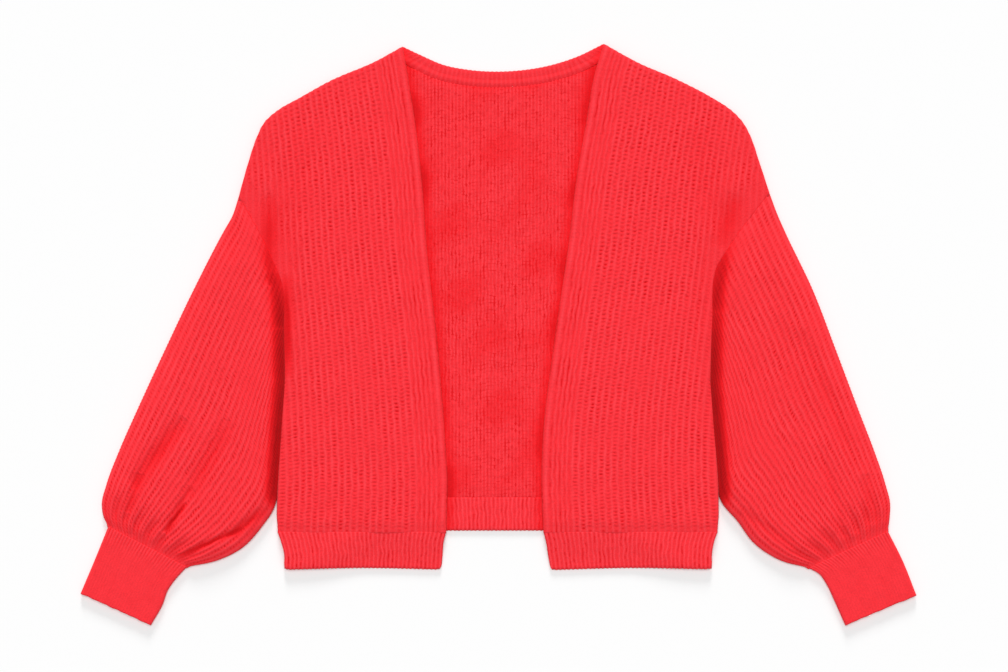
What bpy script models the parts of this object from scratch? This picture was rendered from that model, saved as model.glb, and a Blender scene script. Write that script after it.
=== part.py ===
"""Open-front knit cardigan with balloon sleeves, laid flat with its fronts upward.

Tables are in millimetres: x towards the wearer's left, y towards the neck, z up from the surface
that the cardigan lies on, with the origin under the middle of its outline. Left and right are the
wearer's. A panel is a wall of cloth over a patch between four seams or edges. A sleeve or cuff is
a tube pressed flat over such a patch. Ribs stand on the outer side of a wall, over a plain inside.
"""

from collections import namedtuple

import bmesh
import bpy
import numpy as np

MM = 0.001                # metres in a millimetre
RIB_EDGE_DEGREES = 18     # faces that meet more sharply than this are shaded with an edge

# Cloth
SEAM_GAP = 0.3            # between two pieces that are sewn together
WALL = 3.0                # tuck-rib cloth, without the ribs that stand on it
RIB = 1.2                 # height of a tuck rib
SEAM_WALL = 1.6           # cloth drawn thin at a seam or rolled thin at a free edge
BACK_WALL = 2.6           # back panel, pressed by its own weight
BAND_WALL = 2.0           # close rib of the hems, neckband and cuffs
BAND_RIB = 0.55           # height of a rib on the hems and the neckband
CUFF_RIB = 0.4            # the cuffs are felted, so their ribs are faint
CROWDED_PITCH = 2.5       # half ribs narrower than this stand lower in proportion

# Ribs across each piece
FRONT_RIBS = 26
SLEEVE_RIBS = 27
FRONT_HEM_RIBS = 38
BACK_HEM_RIBS = 104
CUFF_RIBS = 27
ARMHOLE_STEPS = 9         # straight runs round an armhole, three sleeve ribs on each
NECK_STEPS = 12           # straight runs along the back neck, four band ribs on each
SHOULDER_STEPS = 8        # straight runs along each shoulder of the back panel
RIBS_PER_NECK_STEP = 4

# Front edge
EDGE_STRIP = 9.0          # plain knitted strip beside the opening
STRIP_SHARE = 0.7         # height of the strip against a rib
STRIP_COLUMNS = (0.0, 0.3, 0.8)     # shares of the strip's width

# Layers
FRONT_REST = BACK_WALL + SEAM_GAP
FRONT_SWELL = 1.2         # lift of a front panel's middle over the back panel
SLEEVE_BED = 2.6          # lower wall of a sleeve
HOLLOW_SEAM = 0.4         # between a sleeve's two walls at its seams and sides
HOLLOW_MIDDLE = 3.8       # between them at the crown, so the walls all but touch
CUFF_HOLLOW = 0.8
ARMPIT_MARGIN = 14.0      # the hollow keeps this much further in at the armpit
CUFF_MARGIN = 9.0         # and this much at the inner end of the cuff seam
SLEEVE_EDGE_LEVEL = 3.0   # height at which a sleeve is widest
CUFF_EDGE_LEVEL = 2.2
HOLLOW_ROUND = 25.0       # how far in from a sleeve's side its hollow rises
HOLLOW_START = 0.16       # share of the sleeve's length over which it rises from the armhole
HOLLOW_END = 0.14         # and over which it sinks to the cuff
ARMPIT_REACH = 0.25       # share of the length that the armpit's margin takes to run out
CUFF_REACH = 0.2          # the same of the cuff's margin
CUFF_FULL = 0.05          # which is at its full width this share before the cuff
MOUTH_REACH = 0.3         # share of the length over which the hollow's points even out
CUFF_HOLLOW_ROUND = 10.0
CREASE_ROUND = 8.0        # how far in from its side a sleeve rounds down
BODY_ROUND = 6.0          # the same at the sides and shoulders of the fronts
HEM_ROUND = 3.0
SEAM_DIP = 9.0            # how far from a seam the cloth dips towards it
CUFF_ROUND = 3.5

# Hems
HEM_SEAM_Y = -213.0
HEM_FOOT_Y = -253.0
BACK_SEAM_LIFT = 37.0     # the back rides up in the middle, where the opening shows it
BACK_FOOT_LIFT = 41.0
LIFT_FLAT = 120.0         # half width over which the back stays up
LIFT_END = 225.0          # half width at which it is down again
SAG_START = -6.0          # a front hem sags to the floor past the foot of the back
SAG_RUN = 46.0
HEM_PADDING = 0.6         # a front hem is this much thicker than the pressed back hem

# Neckband
BAND_HEIGHT = 17.5
BAND_END_SHARE = 0.85     # how much of a shoulder the band's end takes, against its height
BAND_END_REACH = 1 / 3    # share of each half over which the seam turns to that end
#  share of the band's height, thickness, share of a rib that stands on it
NECKBAND_ROWS = (
    (0.00, 1.6, 0.0),
    (0.12, 2.5, 0.0),     # linked ridge
    (0.24, 1.6, 0.0),
    (0.36, 2.0, 1.0),
    (0.86, 2.0, 1.0),
    (1.00, 1.4, 0.3),
)

# Gathers at the cuff
GATHERS = 9
GATHER_DEPTH = 1.4
GATHER_START = 0.84       # share of the sleeve's length
GATHER_RUN = 0.1
FOLD_SHOWS = 0.3          # share of a fold or gather that shows on top of the sleeve
RIDGE_LIMIT = 1.0         # the most that folds raise the top
TROUGH_LIMIT = 0.6        # and lower it

# Rows of points along a piece
SIDE_ROWS = 5             # up a side seam to the armpit
SLEEVE_ROWS = 12
ROWS_TO_CUFF = 0.13       # sleeve rows lie closer together towards the cuff, where it turns in
NEAR_SEAM = 6.0           # an extra row this far from each end of a piece
NEAR_EDGE = 0.15          # an extra column this many ribs from the side of a front or sleeve
CUFF_NEAR_EDGE = 0.3      # the same on a cuff
FINE_COLUMNS = 90         # steps across a panel before its points are evened out

# Share of the full thickness at each row of a hem: share of its height, share of the thickness
BACK_HEM_ROWS = ((0.0, 0.5), (0.08, 1.0), (0.5, 1.0), (0.93, 1.0), (1.0, 0.3))
FRONT_HEM_ROWS = ((0.0, 0.5), (0.08, 1.0), (0.3, 1.0), (0.5, 1.0), (0.7, 1.0), (0.93, 1.0), (1.0, 0.2))
SEAM_SHARE = 0.5          # share of its full thickness that a front keeps at its hem
CUFF_SEAM_SHARE = 0.4     # the same of a cuff at its two ends

#  x, y of each point along the curve
Side = namedtuple("Side", "name shoulder front_edge side_seam armhole sleeve_outer sleeve_inner "
                          "cuff_outer cuff_inner hem_edge hem_side hem_foot folds")
#  start and end of a soft fold, its half width and its depth (a ridge has a negative depth)
Fold = namedtuple("Fold", "start end width depth")

RIGHT = Side(
    name="right",
    shoulder=((-103, 311), (-134, 294), (-181, 274), (-215, 255), (-238, 242), (-252.5, 229),
              (-261, 212), (-269, 188), (-280, 149)),
    front_edge=((-56, -213), (-55, -158), (-58, -104), (-66, -6), (-77, 91), (-83, 172),
                (-90, 231), (-97, 276), (-103, 311)),
    side_seam=((-238, -213), (-237, -179), (-234, -125), (-229, -50)),
    armhole=((-280, 149), (-251, 96), (-231, 48), (-230, 4), (-229, -50)),
    sleeve_outer=((-280, 149), (-287, 128), (-296, 112), (-329, 48), (-360, -17), (-390, -82),
                  (-409, -125), (-423, -162), (-428, -183), (-426, -197), (-421, -207)),
    sleeve_inner=((-229, -50), (-233, -93), (-236.2, -147), (-238.6, -174), (-243, -190),
                  (-253, -205), (-277, -231), (-303, -244), (-336, -251)),
    cuff_outer=((-421, -207), (-436, -244), (-451, -279.5)),
    cuff_inner=((-336, -251), (-348, -264), (-357, -277), (-362, -291), (-375, -314)),
    hem_edge=((-56, -213), (-59, -225), (-60, -240), (-61, -254)),
    hem_side=((-238, -213), (-234, -225), (-231, -238), (-231, -254)),
    hem_foot=((-61, -254), (-146, -251.5), (-231, -254)),
    folds=(
        Fold((-272, 140), (-278, 4), 11, -1.2),
        Fold((-283, 139), (-287, 76), 6, 1.5),
        Fold((-330, -88), (-400, -170), 9, 1.8),
        Fold((-325, -150), (-366, -218), 6, 1.7),
        Fold((-258, -186), (-336, -240), 6, 1.7),
    ),
)
LEFT = Side(
    name="left",
    shoulder=((114, 314), (150, 294), (196, 274), (232, 255), (252, 242), (264.5, 229),
              (273.5, 212), (281.5, 188), (293, 153)),
    front_edge=((49, -213), (47, -158), (49, -104), (61, -6), (76, 96), (86, 177), (96, 233),
                (103, 276), (114, 314)),
    side_seam=((237, -213), (236, -158), (232, -104), (228, -50)),
    armhole=((293, 153), (251, 97), (235, 72), (230, 15), (228, -50)),
    sleeve_outer=((293, 153), (302, 129), (309.5, 112), (340, 48), (365, -17), (389.5, -82),
                  (406, -125), (418.5, -162), (423.5, -183), (423, -197), (421, -212)),
    sleeve_inner=((228, -50), (232.8, -104), (235.8, -145), (238.2, -168), (243, -183),
                  (258, -201), (276, -225), (305, -244), (335, -252)),
    cuff_outer=((421, -212), (437, -244), (452, -281.5)),
    cuff_inner=((335, -252), (347, -259), (356, -272), (363, -287), (375, -314)),
    hem_edge=((49, -213), (52, -225), (54, -240), (56, -254.5)),
    hem_side=((237, -213), (233, -225), (231, -238), (231, -253.5)),
    hem_foot=((56, -254.5), (144, -251.5), (231, -253.5)),
    folds=(
        Fold((268, 118), (250, 20), 10, -1.0),
        Fold((327, 4), (390, -150), 9, 1.4),
        Fold((398, -150), (402, -205), 6, 1.4),
        Fold((262, -190), (330, -238), 6, 1.5),
    ),
)
#  x, y along the top of the neckband, from the right neck point to the left one
NECK_TOP = ((-103, 311), (-84, 302), (-58, 291), (-32, 286), (20, 285), (59, 291.5), (85, 300),
            (114, 314))

# Colours, linear
BODY_RED = (0.93, 0.036, 0.048)
BAND_RED = (0.94, 0.038, 0.048)
CUFF_RED = (0.955, 0.038, 0.050)
WOOL_ROUGHNESS = 0.9


# ---------------------------------------------------------------- curves

def length_shares(points):
    """Share of a run's length at each of its points."""
    steps = np.linalg.norm(np.diff(points, axis=0), axis=1)
    lengths = np.concatenate([[0.0], np.cumsum(steps)])
    return lengths / lengths[-1]


def along(points, shares):
    """Points at shares of the length of a run of straight lines."""
    at = length_shares(points)
    return np.stack([np.interp(shares, at, points[:, axis]) for axis in (0, 1)], axis=-1)


def smooth_run(table, count=240):
    """A fine run of points on the cubic curve through a table's points."""
    points = np.asarray(table, dtype=float)
    at = length_shares(points)
    slopes = np.gradient(points, at, axis=0)
    place = np.linspace(0.0, 1.0, count)
    first = np.clip(np.searchsorted(at, place, side="right") - 1, 0, len(at) - 2)
    step = (at[first + 1] - at[first])[:, None]
    t = (place - at[first])[:, None] / step
    return ((2 * t**3 - 3 * t**2 + 1) * points[first] + (t**3 - 2 * t**2 + t) * step * slopes[first]
            + (3 * t**2 - 2 * t**3) * points[first + 1] + (t**3 - t**2) * step * slopes[first + 1])


def spaced_in_x(table, shares):
    """Points on the curve through a table, evenly spaced in x and not along the curve."""
    run = smooth_run(table)
    x = run[0, 0] + (run[-1, 0] - run[0, 0]) * np.asarray(shares)
    order = np.argsort(run[:, 0])
    return np.stack([x, np.interp(x, run[order, 0], run[order, 1])], axis=-1)


def moved_aside(run, distance):
    """A run moved sideways by a distance, to its left where that is positive."""
    ahead = np.gradient(run, axis=0)
    normal = np.stack([-ahead[:, 1], ahead[:, 0]], axis=-1)
    return run + distance * normal / np.linalg.norm(normal, axis=1, keepdims=True)


def smooth(t):
    """Zero below 0, one above 1, and an even S between them."""
    t = np.clip(t, 0.0, 1.0)
    return t * t * (3.0 - 2.0 * t)


def quarter_round(distance, radius):
    """Height share of a rounded side, at a distance in from its edge."""
    t = 1.0 - np.clip(distance / radius, 0.0, 1.0)
    return np.sqrt(1.0 - t * t)


def crest(phase):
    """One on the top of each rib and zero in each groove, for a phase counted in ribs."""
    return 0.5 - 0.5 * np.cos(2.0 * np.pi * phase)


def patch(foot, head, start, end, u, v):
    """Points of the patch between four curves: foot and head run with u, start and end with v."""
    across, up = u[..., None], v[..., None]
    ruled = (1 - up) * foot(u) + up * head(u) + (1 - across) * start(v) + across * end(v)
    corners = ((1 - across) * (1 - up) * foot(0.0 * u) + across * (1 - up) * foot(0.0 * u + 1)
               + (1 - across) * up * head(0.0 * u) + across * up * head(0.0 * u + 1))
    return ruled - corners


def seam_rows(shares, length):
    """Shares of a length, with one more row near each end, where the cloth dips to its seam."""
    near = NEAR_SEAM / length
    return np.unique(np.concatenate([shares, [near, 1.0 - near]]))


def row_widths(flat):
    """Width of each row of points, as a column."""
    return np.linalg.norm(flat[:, -1] - flat[:, 0], axis=-1)[:, None]


def evened(flat, distances):
    """Each row's points moved along it to new distances from its first point.

    All rows are looked up in one run, where each row starts a little past the end of the last.
    """
    steps = np.linalg.norm(np.diff(flat, axis=1), axis=-1)
    reached = np.concatenate([np.zeros((len(flat), 1)), np.cumsum(steps, axis=1)], axis=1)
    starts = np.concatenate([[0.0], np.cumsum(reached[:-1, -1] + 1.0)])[:, None]
    wanted = np.clip(distances(reached[:, -1:]), 0.0, reached[:, -1:]) + starts
    at = (reached + starts).ravel()
    return np.stack([np.interp(wanted, at, flat[..., axis].ravel()) for axis in (0, 1)], axis=-1)


def rib_height(flat, height):
    """Height of the ribs at each point, less where the ribs crowd together."""
    spacing = np.linalg.norm(np.gradient(flat, axis=1), axis=-1)
    return height * np.clip(spacing / CROWDED_PITCH, 0.0, 1.0)


def fold_depth(flat, folds):
    """Sum of the soft folds at each point: deepest on each fold's line, fading to its ends."""
    total = np.zeros(flat.shape[:-1])
    for fold in folds:
        start, end = np.array(fold.start, float), np.array(fold.end, float)
        line = end - start
        share = np.clip(((flat - start) @ line) / (line @ line), 0.0, 1.0)
        distance = np.linalg.norm(flat - start - share[..., None] * line, axis=-1)
        total += fold.depth * np.exp(-(distance / fold.width) ** 2) * np.sqrt(np.sin(np.pi * share))
    return total


# ---------------------------------------------------------------- meshes

def knit_material(name, colour):
    """Matt wool in one colour."""
    material = bpy.data.materials.new(name)
    material.use_nodes = True
    shader = material.node_tree.nodes["Principled BSDF"]
    shader.inputs["Base Color"].default_value = (*colour, 1.0)
    shader.inputs["Roughness"].default_value = WOOL_ROUGHNESS
    shader.inputs["Metallic"].default_value = 0.0
    return material


def with_height(flat, height):
    """Points in space from points on the plan and their heights."""
    return np.concatenate([flat, np.broadcast_to(height, flat.shape[:-1])[..., None]], axis=-1)


def grid_faces(numbers):
    """Four-sided faces between the neighbouring points of a grid of point numbers."""
    corners = (numbers[:-1, :-1], numbers[:-1, 1:], numbers[1:, 1:], numbers[1:, :-1])
    return np.stack(corners, axis=-1).reshape(-1, 4).tolist()


def bridge_faces(first, second, first_at, second_at):
    """Triangles between two runs of point numbers, next over whichever step has the nearer middle."""
    faces, i, j = [], 0, 0
    while i + 1 < len(first) or j + 1 < len(second):
        first_middle = first_at[i] + first_at[i + 1] if i + 1 < len(first) else np.inf
        second_middle = second_at[j] + second_at[j + 1] if j + 1 < len(second) else np.inf
        if first_middle <= second_middle:
            faces.append((int(first[i]), int(first[i + 1]), int(second[j])))
            i += 1
        else:
            faces.append((int(first[i]), int(second[j + 1]), int(second[j])))
            j += 1
    return faces


def closed_piece(name, points, faces, material, collection):
    """One closed body with its faces turned outwards."""
    mesh = bpy.data.meshes.new(name)
    mesh.from_pydata((points * MM).tolist(), [], faces)
    work = bmesh.new()
    work.from_mesh(mesh)
    bmesh.ops.triangulate(work, faces=work.faces)
    bmesh.ops.recalc_face_normals(work, faces=work.faces)
    work.to_mesh(mesh)
    work.free()
    mesh.shade_smooth()
    mesh.set_sharp_from_angle(angle=np.radians(RIB_EDGE_DEGREES))
    mesh.materials.append(material)
    piece = bpy.data.objects.new(name, mesh)
    collection.objects.link(piece)
    return piece


def panel(name, upper, lower, upper_at, lower_at, material, collection):
    """A wall between an upper and a lower grid with as many rows, and any number of columns."""
    rows, wide = upper.shape[:2]
    points = np.concatenate([upper.reshape(-1, 3), lower.reshape(-1, 3)])
    top = np.arange(rows * wide).reshape(rows, wide)
    below = top.size + np.arange(rows * lower.shape[1]).reshape(rows, lower.shape[1])
    faces = grid_faces(top) + grid_faces(below)
    faces += grid_faces(np.stack([top[:, 0], below[:, 0]]))
    faces += grid_faces(np.stack([top[:, -1], below[:, -1]]))
    for row in (0, -1):
        faces += bridge_faces(top[row], below[row], upper_at, lower_at)
    return closed_piece(name, points, faces, material, collection)


def loop_places(top_at, bottom_at):
    """Places round a pressed tube: 0 to 1 over its top, then 1 to 2 back under it, and closed."""
    return np.concatenate([top_at, 2.0 - bottom_at[::-1], [2.0 + top_at[0]]])


def tube(name, outer, inner, outer_at, inner_at, material, collection):
    """A wall between an outer and an inner loop on each row, open at both ends.

    outer_at holds the places round the outer loop, and inner_at those round the inner loop of
    the first row and of the last.
    """
    rows = outer.shape[0]
    points = np.concatenate([outer.reshape(-1, 3), inner.reshape(-1, 3)])
    outside = np.arange(outer.shape[0] * outer.shape[1]).reshape(rows, -1)
    inside = outside.size + np.arange(inner.shape[0] * inner.shape[1]).reshape(rows, -1)
    outside = np.concatenate([outside, outside[:, :1]], axis=1)
    inside = np.concatenate([inside, inside[:, :1]], axis=1)
    faces = grid_faces(outside) + grid_faces(inside)
    for row, places in zip((0, -1), inner_at):
        faces += bridge_faces(outside[row], inside[row], outer_at, places)
    return closed_piece(name, points, faces, material, collection)


# ---------------------------------------------------------------- seams

def armhole_run(side):
    """The armhole as straight runs, from the top of the sleeve to the armpit."""
    return along(smooth_run(side.armhole), np.linspace(0.0, 1.0, ARMHOLE_STEPS + 1))


def body_side_run(side):
    """The side seam and then the armhole, from the hem seam up to the top of the sleeve."""
    seam = along(smooth_run(side.side_seam), np.linspace(0.0, 1.0, SIDE_ROWS + 1))
    return np.concatenate([seam, armhole_run(side)[-2::-1]])


def body_rows(side):
    """Row shares up a body panel, one at each point of its side and one more near each end."""
    run = body_side_run(side)
    length = np.linalg.norm(np.diff(run, axis=0), axis=1).sum()
    return seam_rows(length_shares(run), length)


def neck_seam_run():
    """The seam under the neckband, as straight runs from one shoulder seam to the other."""
    right_end = spaced_in_x(RIGHT.shoulder, neck_end_share(RIGHT))
    left_end = spaced_in_x(LEFT.shoulder, neck_end_share(LEFT))
    middle = along(smooth_run(NECK_TOP), np.linspace(0.0, 1.0, NECK_STEPS + 1))
    lowered = moved_aside(middle, -BAND_HEIGHT)
    to_end = 1.0 - np.abs(np.linspace(-1.0, 1.0, NECK_STEPS + 1))
    blend = np.clip(1.0 - to_end / BAND_END_REACH, 0.0, 1.0)[:, None]
    ends = np.where(np.arange(NECK_STEPS + 1)[:, None] * 2 < NECK_STEPS, right_end, left_end)
    return lowered * (1.0 - blend) + ends * blend


def neck_end_share(side):
    """Share of a shoulder's width that the end of the neckband takes."""
    width = abs(side.shoulder[-1][0] - side.shoulder[0][0])
    return BAND_END_SHARE * BAND_HEIGHT / width


def back_lift(x):
    """How much of its lift the foot of the back has at a distance from the middle."""
    return 1.0 - smooth((np.abs(x) - LIFT_FLAT) / (LIFT_END - LIFT_FLAT))


def back_seam_y(x):
    """Height on the plan of the seam between the back panel and its hem."""
    return HEM_SEAM_Y + BACK_SEAM_LIFT * back_lift(x)


def back_foot_y(x):
    """Height on the plan of the foot of the back hem."""
    return HEM_FOOT_Y + BACK_FOOT_LIFT * back_lift(x)


# ---------------------------------------------------------------- pieces

def back_top_run():
    """Points along the top of the back: a shoulder, the neck seam and the other shoulder."""
    steps = np.linspace(1.0, 0.0, SHOULDER_STEPS + 1)[:-1]
    shoulders = []
    for side in (RIGHT, LEFT):
        first = neck_end_share(side)
        shoulders.append(spaced_in_x(side.shoulder, first + (1.0 - first) * steps))
    return np.concatenate([shoulders[0], neck_seam_run(), shoulders[1][::-1]])


def back_foot_run(shares):
    """Points along the seam between the back panel and its hem, at shares of its width."""
    right_x, left_x = RIGHT.side_seam[0][0], LEFT.side_seam[0][0]
    x = right_x + (left_x - right_x) * shares
    return np.stack([x, back_seam_y(x)], axis=-1)


def back_shares():
    """Shares of the back's width at each of its columns."""
    x = back_top_run()[:, 0]
    return (x - x[0]) / (x[-1] - x[0])


def back_panel(material, collection):
    """Flat wall from hem seam to shoulders, hollowed along the back neck."""
    top, shares = back_top_run(), back_shares()
    right, left = body_side_run(RIGHT), body_side_run(LEFT)
    right_rows, left_rows = length_shares(right), length_shares(left)
    u, v = np.meshgrid(shares, body_rows(RIGHT))

    def head(share):
        return np.stack([np.interp(share, shares, top[:, axis]) for axis in (0, 1)], axis=-1)

    def left_side(share):
        return along(left, np.interp(share, right_rows, left_rows))

    flat = patch(back_foot_run, head, lambda share: along(right, share), left_side, u, v)
    upper, lower = with_height(flat, BACK_WALL), with_height(flat, 0.0)
    return panel("back_panel", upper, lower, shares, shares, material, collection)


def back_hem(material, collection):
    """Rib band under the back panel, ribbed on the side that shows and flat where it rests."""
    right, left = smooth_run(RIGHT.hem_side), smooth_run(LEFT.hem_side)
    seam = back_foot_run(back_shares())

    def grid(shares, rows):
        u, v = np.meshgrid(shares, rows)
        right_x, left_x = along(right, v)[..., 0], along(left, v)[..., 0]
        x = right_x + (left_x - right_x) * u
        head = np.interp(x, seam[:, 0], seam[:, 1]) - 1.2 * SEAM_GAP
        return np.stack([x, head + (back_foot_y(x) - head) * v], axis=-1)

    rows, body = np.array(BACK_HEM_ROWS).T
    upper_at = np.linspace(0.0, 1.0, 2 * BACK_HEM_RIBS + 1)
    lower_at = back_shares()
    flat = grid(upper_at, rows)
    ribs = BAND_RIB * crest(upper_at * BACK_HEM_RIBS)
    height = SEAM_WALL + (BAND_WALL - SEAM_WALL + ribs) * body[:, None]
    upper = with_height(flat, height)
    lower = with_height(grid(lower_at, rows), 0.0)
    return panel("back_hem", upper, lower, upper_at, lower_at, material, collection)


def back_neckband(material, collection):
    """Rib band along the back neck, with a linked ridge over its seam."""
    seam = neck_seam_run() + [0.0, SEAM_GAP + 0.1]
    edge = along(smooth_run(NECK_TOP), np.linspace(0.0, 1.0, NECK_STEPS + 1))
    ribs = NECK_STEPS * RIBS_PER_NECK_STEP
    table = np.array(NECKBAND_ROWS)

    def grid(shares):
        place = shares * NECK_STEPS
        at = np.arange(NECK_STEPS + 1)
        low = np.stack([np.interp(place, at, seam[:, axis]) for axis in (0, 1)], axis=-1)
        high = np.stack([np.interp(place, at, edge[:, axis]) for axis in (0, 1)], axis=-1)
        share = table[:, 0][:, None, None]
        return low * (1.0 - share) + high * share

    upper_at = np.linspace(0.0, 1.0, 2 * ribs + 1)
    lower_at = np.linspace(0.0, 1.0, NECK_STEPS + 1)
    height = table[:, 1][:, None] + BAND_RIB * crest(upper_at * ribs) * table[:, 2][:, None]
    upper = with_height(grid(upper_at), height)
    lower = with_height(grid(lower_at), 0.0)
    return panel("back_neckband", upper, lower, upper_at, lower_at, material, collection)


def front_panel(side, material, collection):
    """Tuck-rib wall over the back, with a plain strip along the opening."""
    rows = body_rows(side)
    outer_run = body_side_run(side)
    length = np.linalg.norm(np.diff(outer_run, axis=0), axis=1).sum()
    foot_x, side_x = side.front_edge[0][0], side.side_seam[0][0]
    edge_run = smooth_run(side.front_edge)

    def grid(ribs):
        u, v = np.meshgrid(np.linspace(0.0, 1.0, FINE_COLUMNS + 1), rows)
        flat = patch(lambda share: np.stack([foot_x + (side_x - foot_x) * share,
                                             HEM_SEAM_Y + 0.0 * share], axis=-1),
                     lambda share: spaced_in_x(side.shoulder, share),
                     lambda share: along(edge_run, share),
                     lambda share: along(outer_run, share), u, v)
        flat = evened(flat, lambda width: np.where(
            ribs < 0.0, EDGE_STRIP * (1.0 + ribs),
            EDGE_STRIP + (width - EDGE_STRIP) * np.maximum(ribs, 0.0) / FRONT_RIBS))
        u, v = np.meshgrid((ribs + 1.0) / (FRONT_RIBS + 1.0), rows)
        rest = FRONT_REST + FRONT_SWELL * np.sqrt(np.sin(np.pi * u) * np.sin(np.pi * v) + 1e-9)
        return flat, rest, v

    strip = np.array(STRIP_COLUMNS) - 1.0
    halves = np.linspace(0.0, FRONT_RIBS, 2 * FRONT_RIBS + 1)
    upper_at = np.unique(np.concatenate([strip, halves, [FRONT_RIBS - NEAR_EDGE]]))
    flat, rest, v = grid(upper_at)
    across = row_widths(flat)
    from_edge = np.where(upper_at < 0.0, EDGE_STRIP * (1.0 + upper_at), EDGE_STRIP)
    from_side = (across - EDGE_STRIP) * (1.0 - np.maximum(upper_at, 0.0) / FRONT_RIBS)
    standing = np.where(upper_at < 0.0, STRIP_SHARE * RIB, rib_height(flat, RIB) * crest(upper_at))
    rounding = (quarter_round(from_side, BODY_ROUND) * quarter_round((1 - v) * length, BODY_ROUND)
                * quarter_round(from_edge, HEM_ROUND)
                * (SEAM_SHARE + (1.0 - SEAM_SHARE) * smooth(v * length / SEAM_DIP)))
    upper = with_height(flat, rest + SEAM_WALL + (WALL - SEAM_WALL + standing) * rounding)
    lower_at = np.concatenate([[-1.0], np.linspace(0.0, FRONT_RIBS, FRONT_RIBS // 2 + 1)])
    flat, rest, v = grid(lower_at)
    lower = with_height(flat, rest)
    return panel("front_" + side.name, upper, lower, upper_at, lower_at, material, collection)


def front_hem(side, material, collection):
    """Rib band under a front, lying on the back hem and sagging to the floor past its foot."""
    rows, body = np.array(FRONT_HEM_ROWS).T
    top_x, side_x = side.hem_edge[0][0], side.hem_side[0][0]
    edge_run, side_run = smooth_run(side.hem_edge), smooth_run(side.hem_side)

    def grid(shares):
        u, v = np.meshgrid(shares, rows)
        flat = patch(lambda share: np.stack([top_x + (side_x - top_x) * share,
                                             HEM_SEAM_Y + 0.0 * share], axis=-1),
                     lambda share: spaced_in_x(side.hem_foot, share),
                     lambda share: along(edge_run, share),
                     lambda share: along(side_run, share), u, v)
        flat[..., 1] -= SEAM_GAP * (1.0 - v)
        past_foot = back_foot_y(flat[..., 0]) - flat[..., 1] - SAG_START
        return flat, FRONT_REST * (1.0 - smooth(past_foot / SAG_RUN)), u

    upper_at = np.linspace(0.0, 1.0, 2 * FRONT_HEM_RIBS + 1)
    flat, rest, u = grid(upper_at)
    across = row_widths(flat)
    sides = quarter_round(u * across, HEM_ROUND) * quarter_round((1 - u) * across, HEM_ROUND)
    thick = BAND_WALL - SEAM_WALL + HEM_PADDING + BAND_RIB * crest(u * FRONT_HEM_RIBS)
    upper = with_height(flat, rest + SEAM_WALL + thick * body[:, None] * sides)
    lower_at = np.linspace(0.0, 1.0, FRONT_HEM_RIBS // 2 + 1)
    flat, rest, u = grid(lower_at)
    lower = with_height(flat, rest)
    return panel("front_hem_" + side.name, upper, lower, upper_at, lower_at, material, collection)


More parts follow.
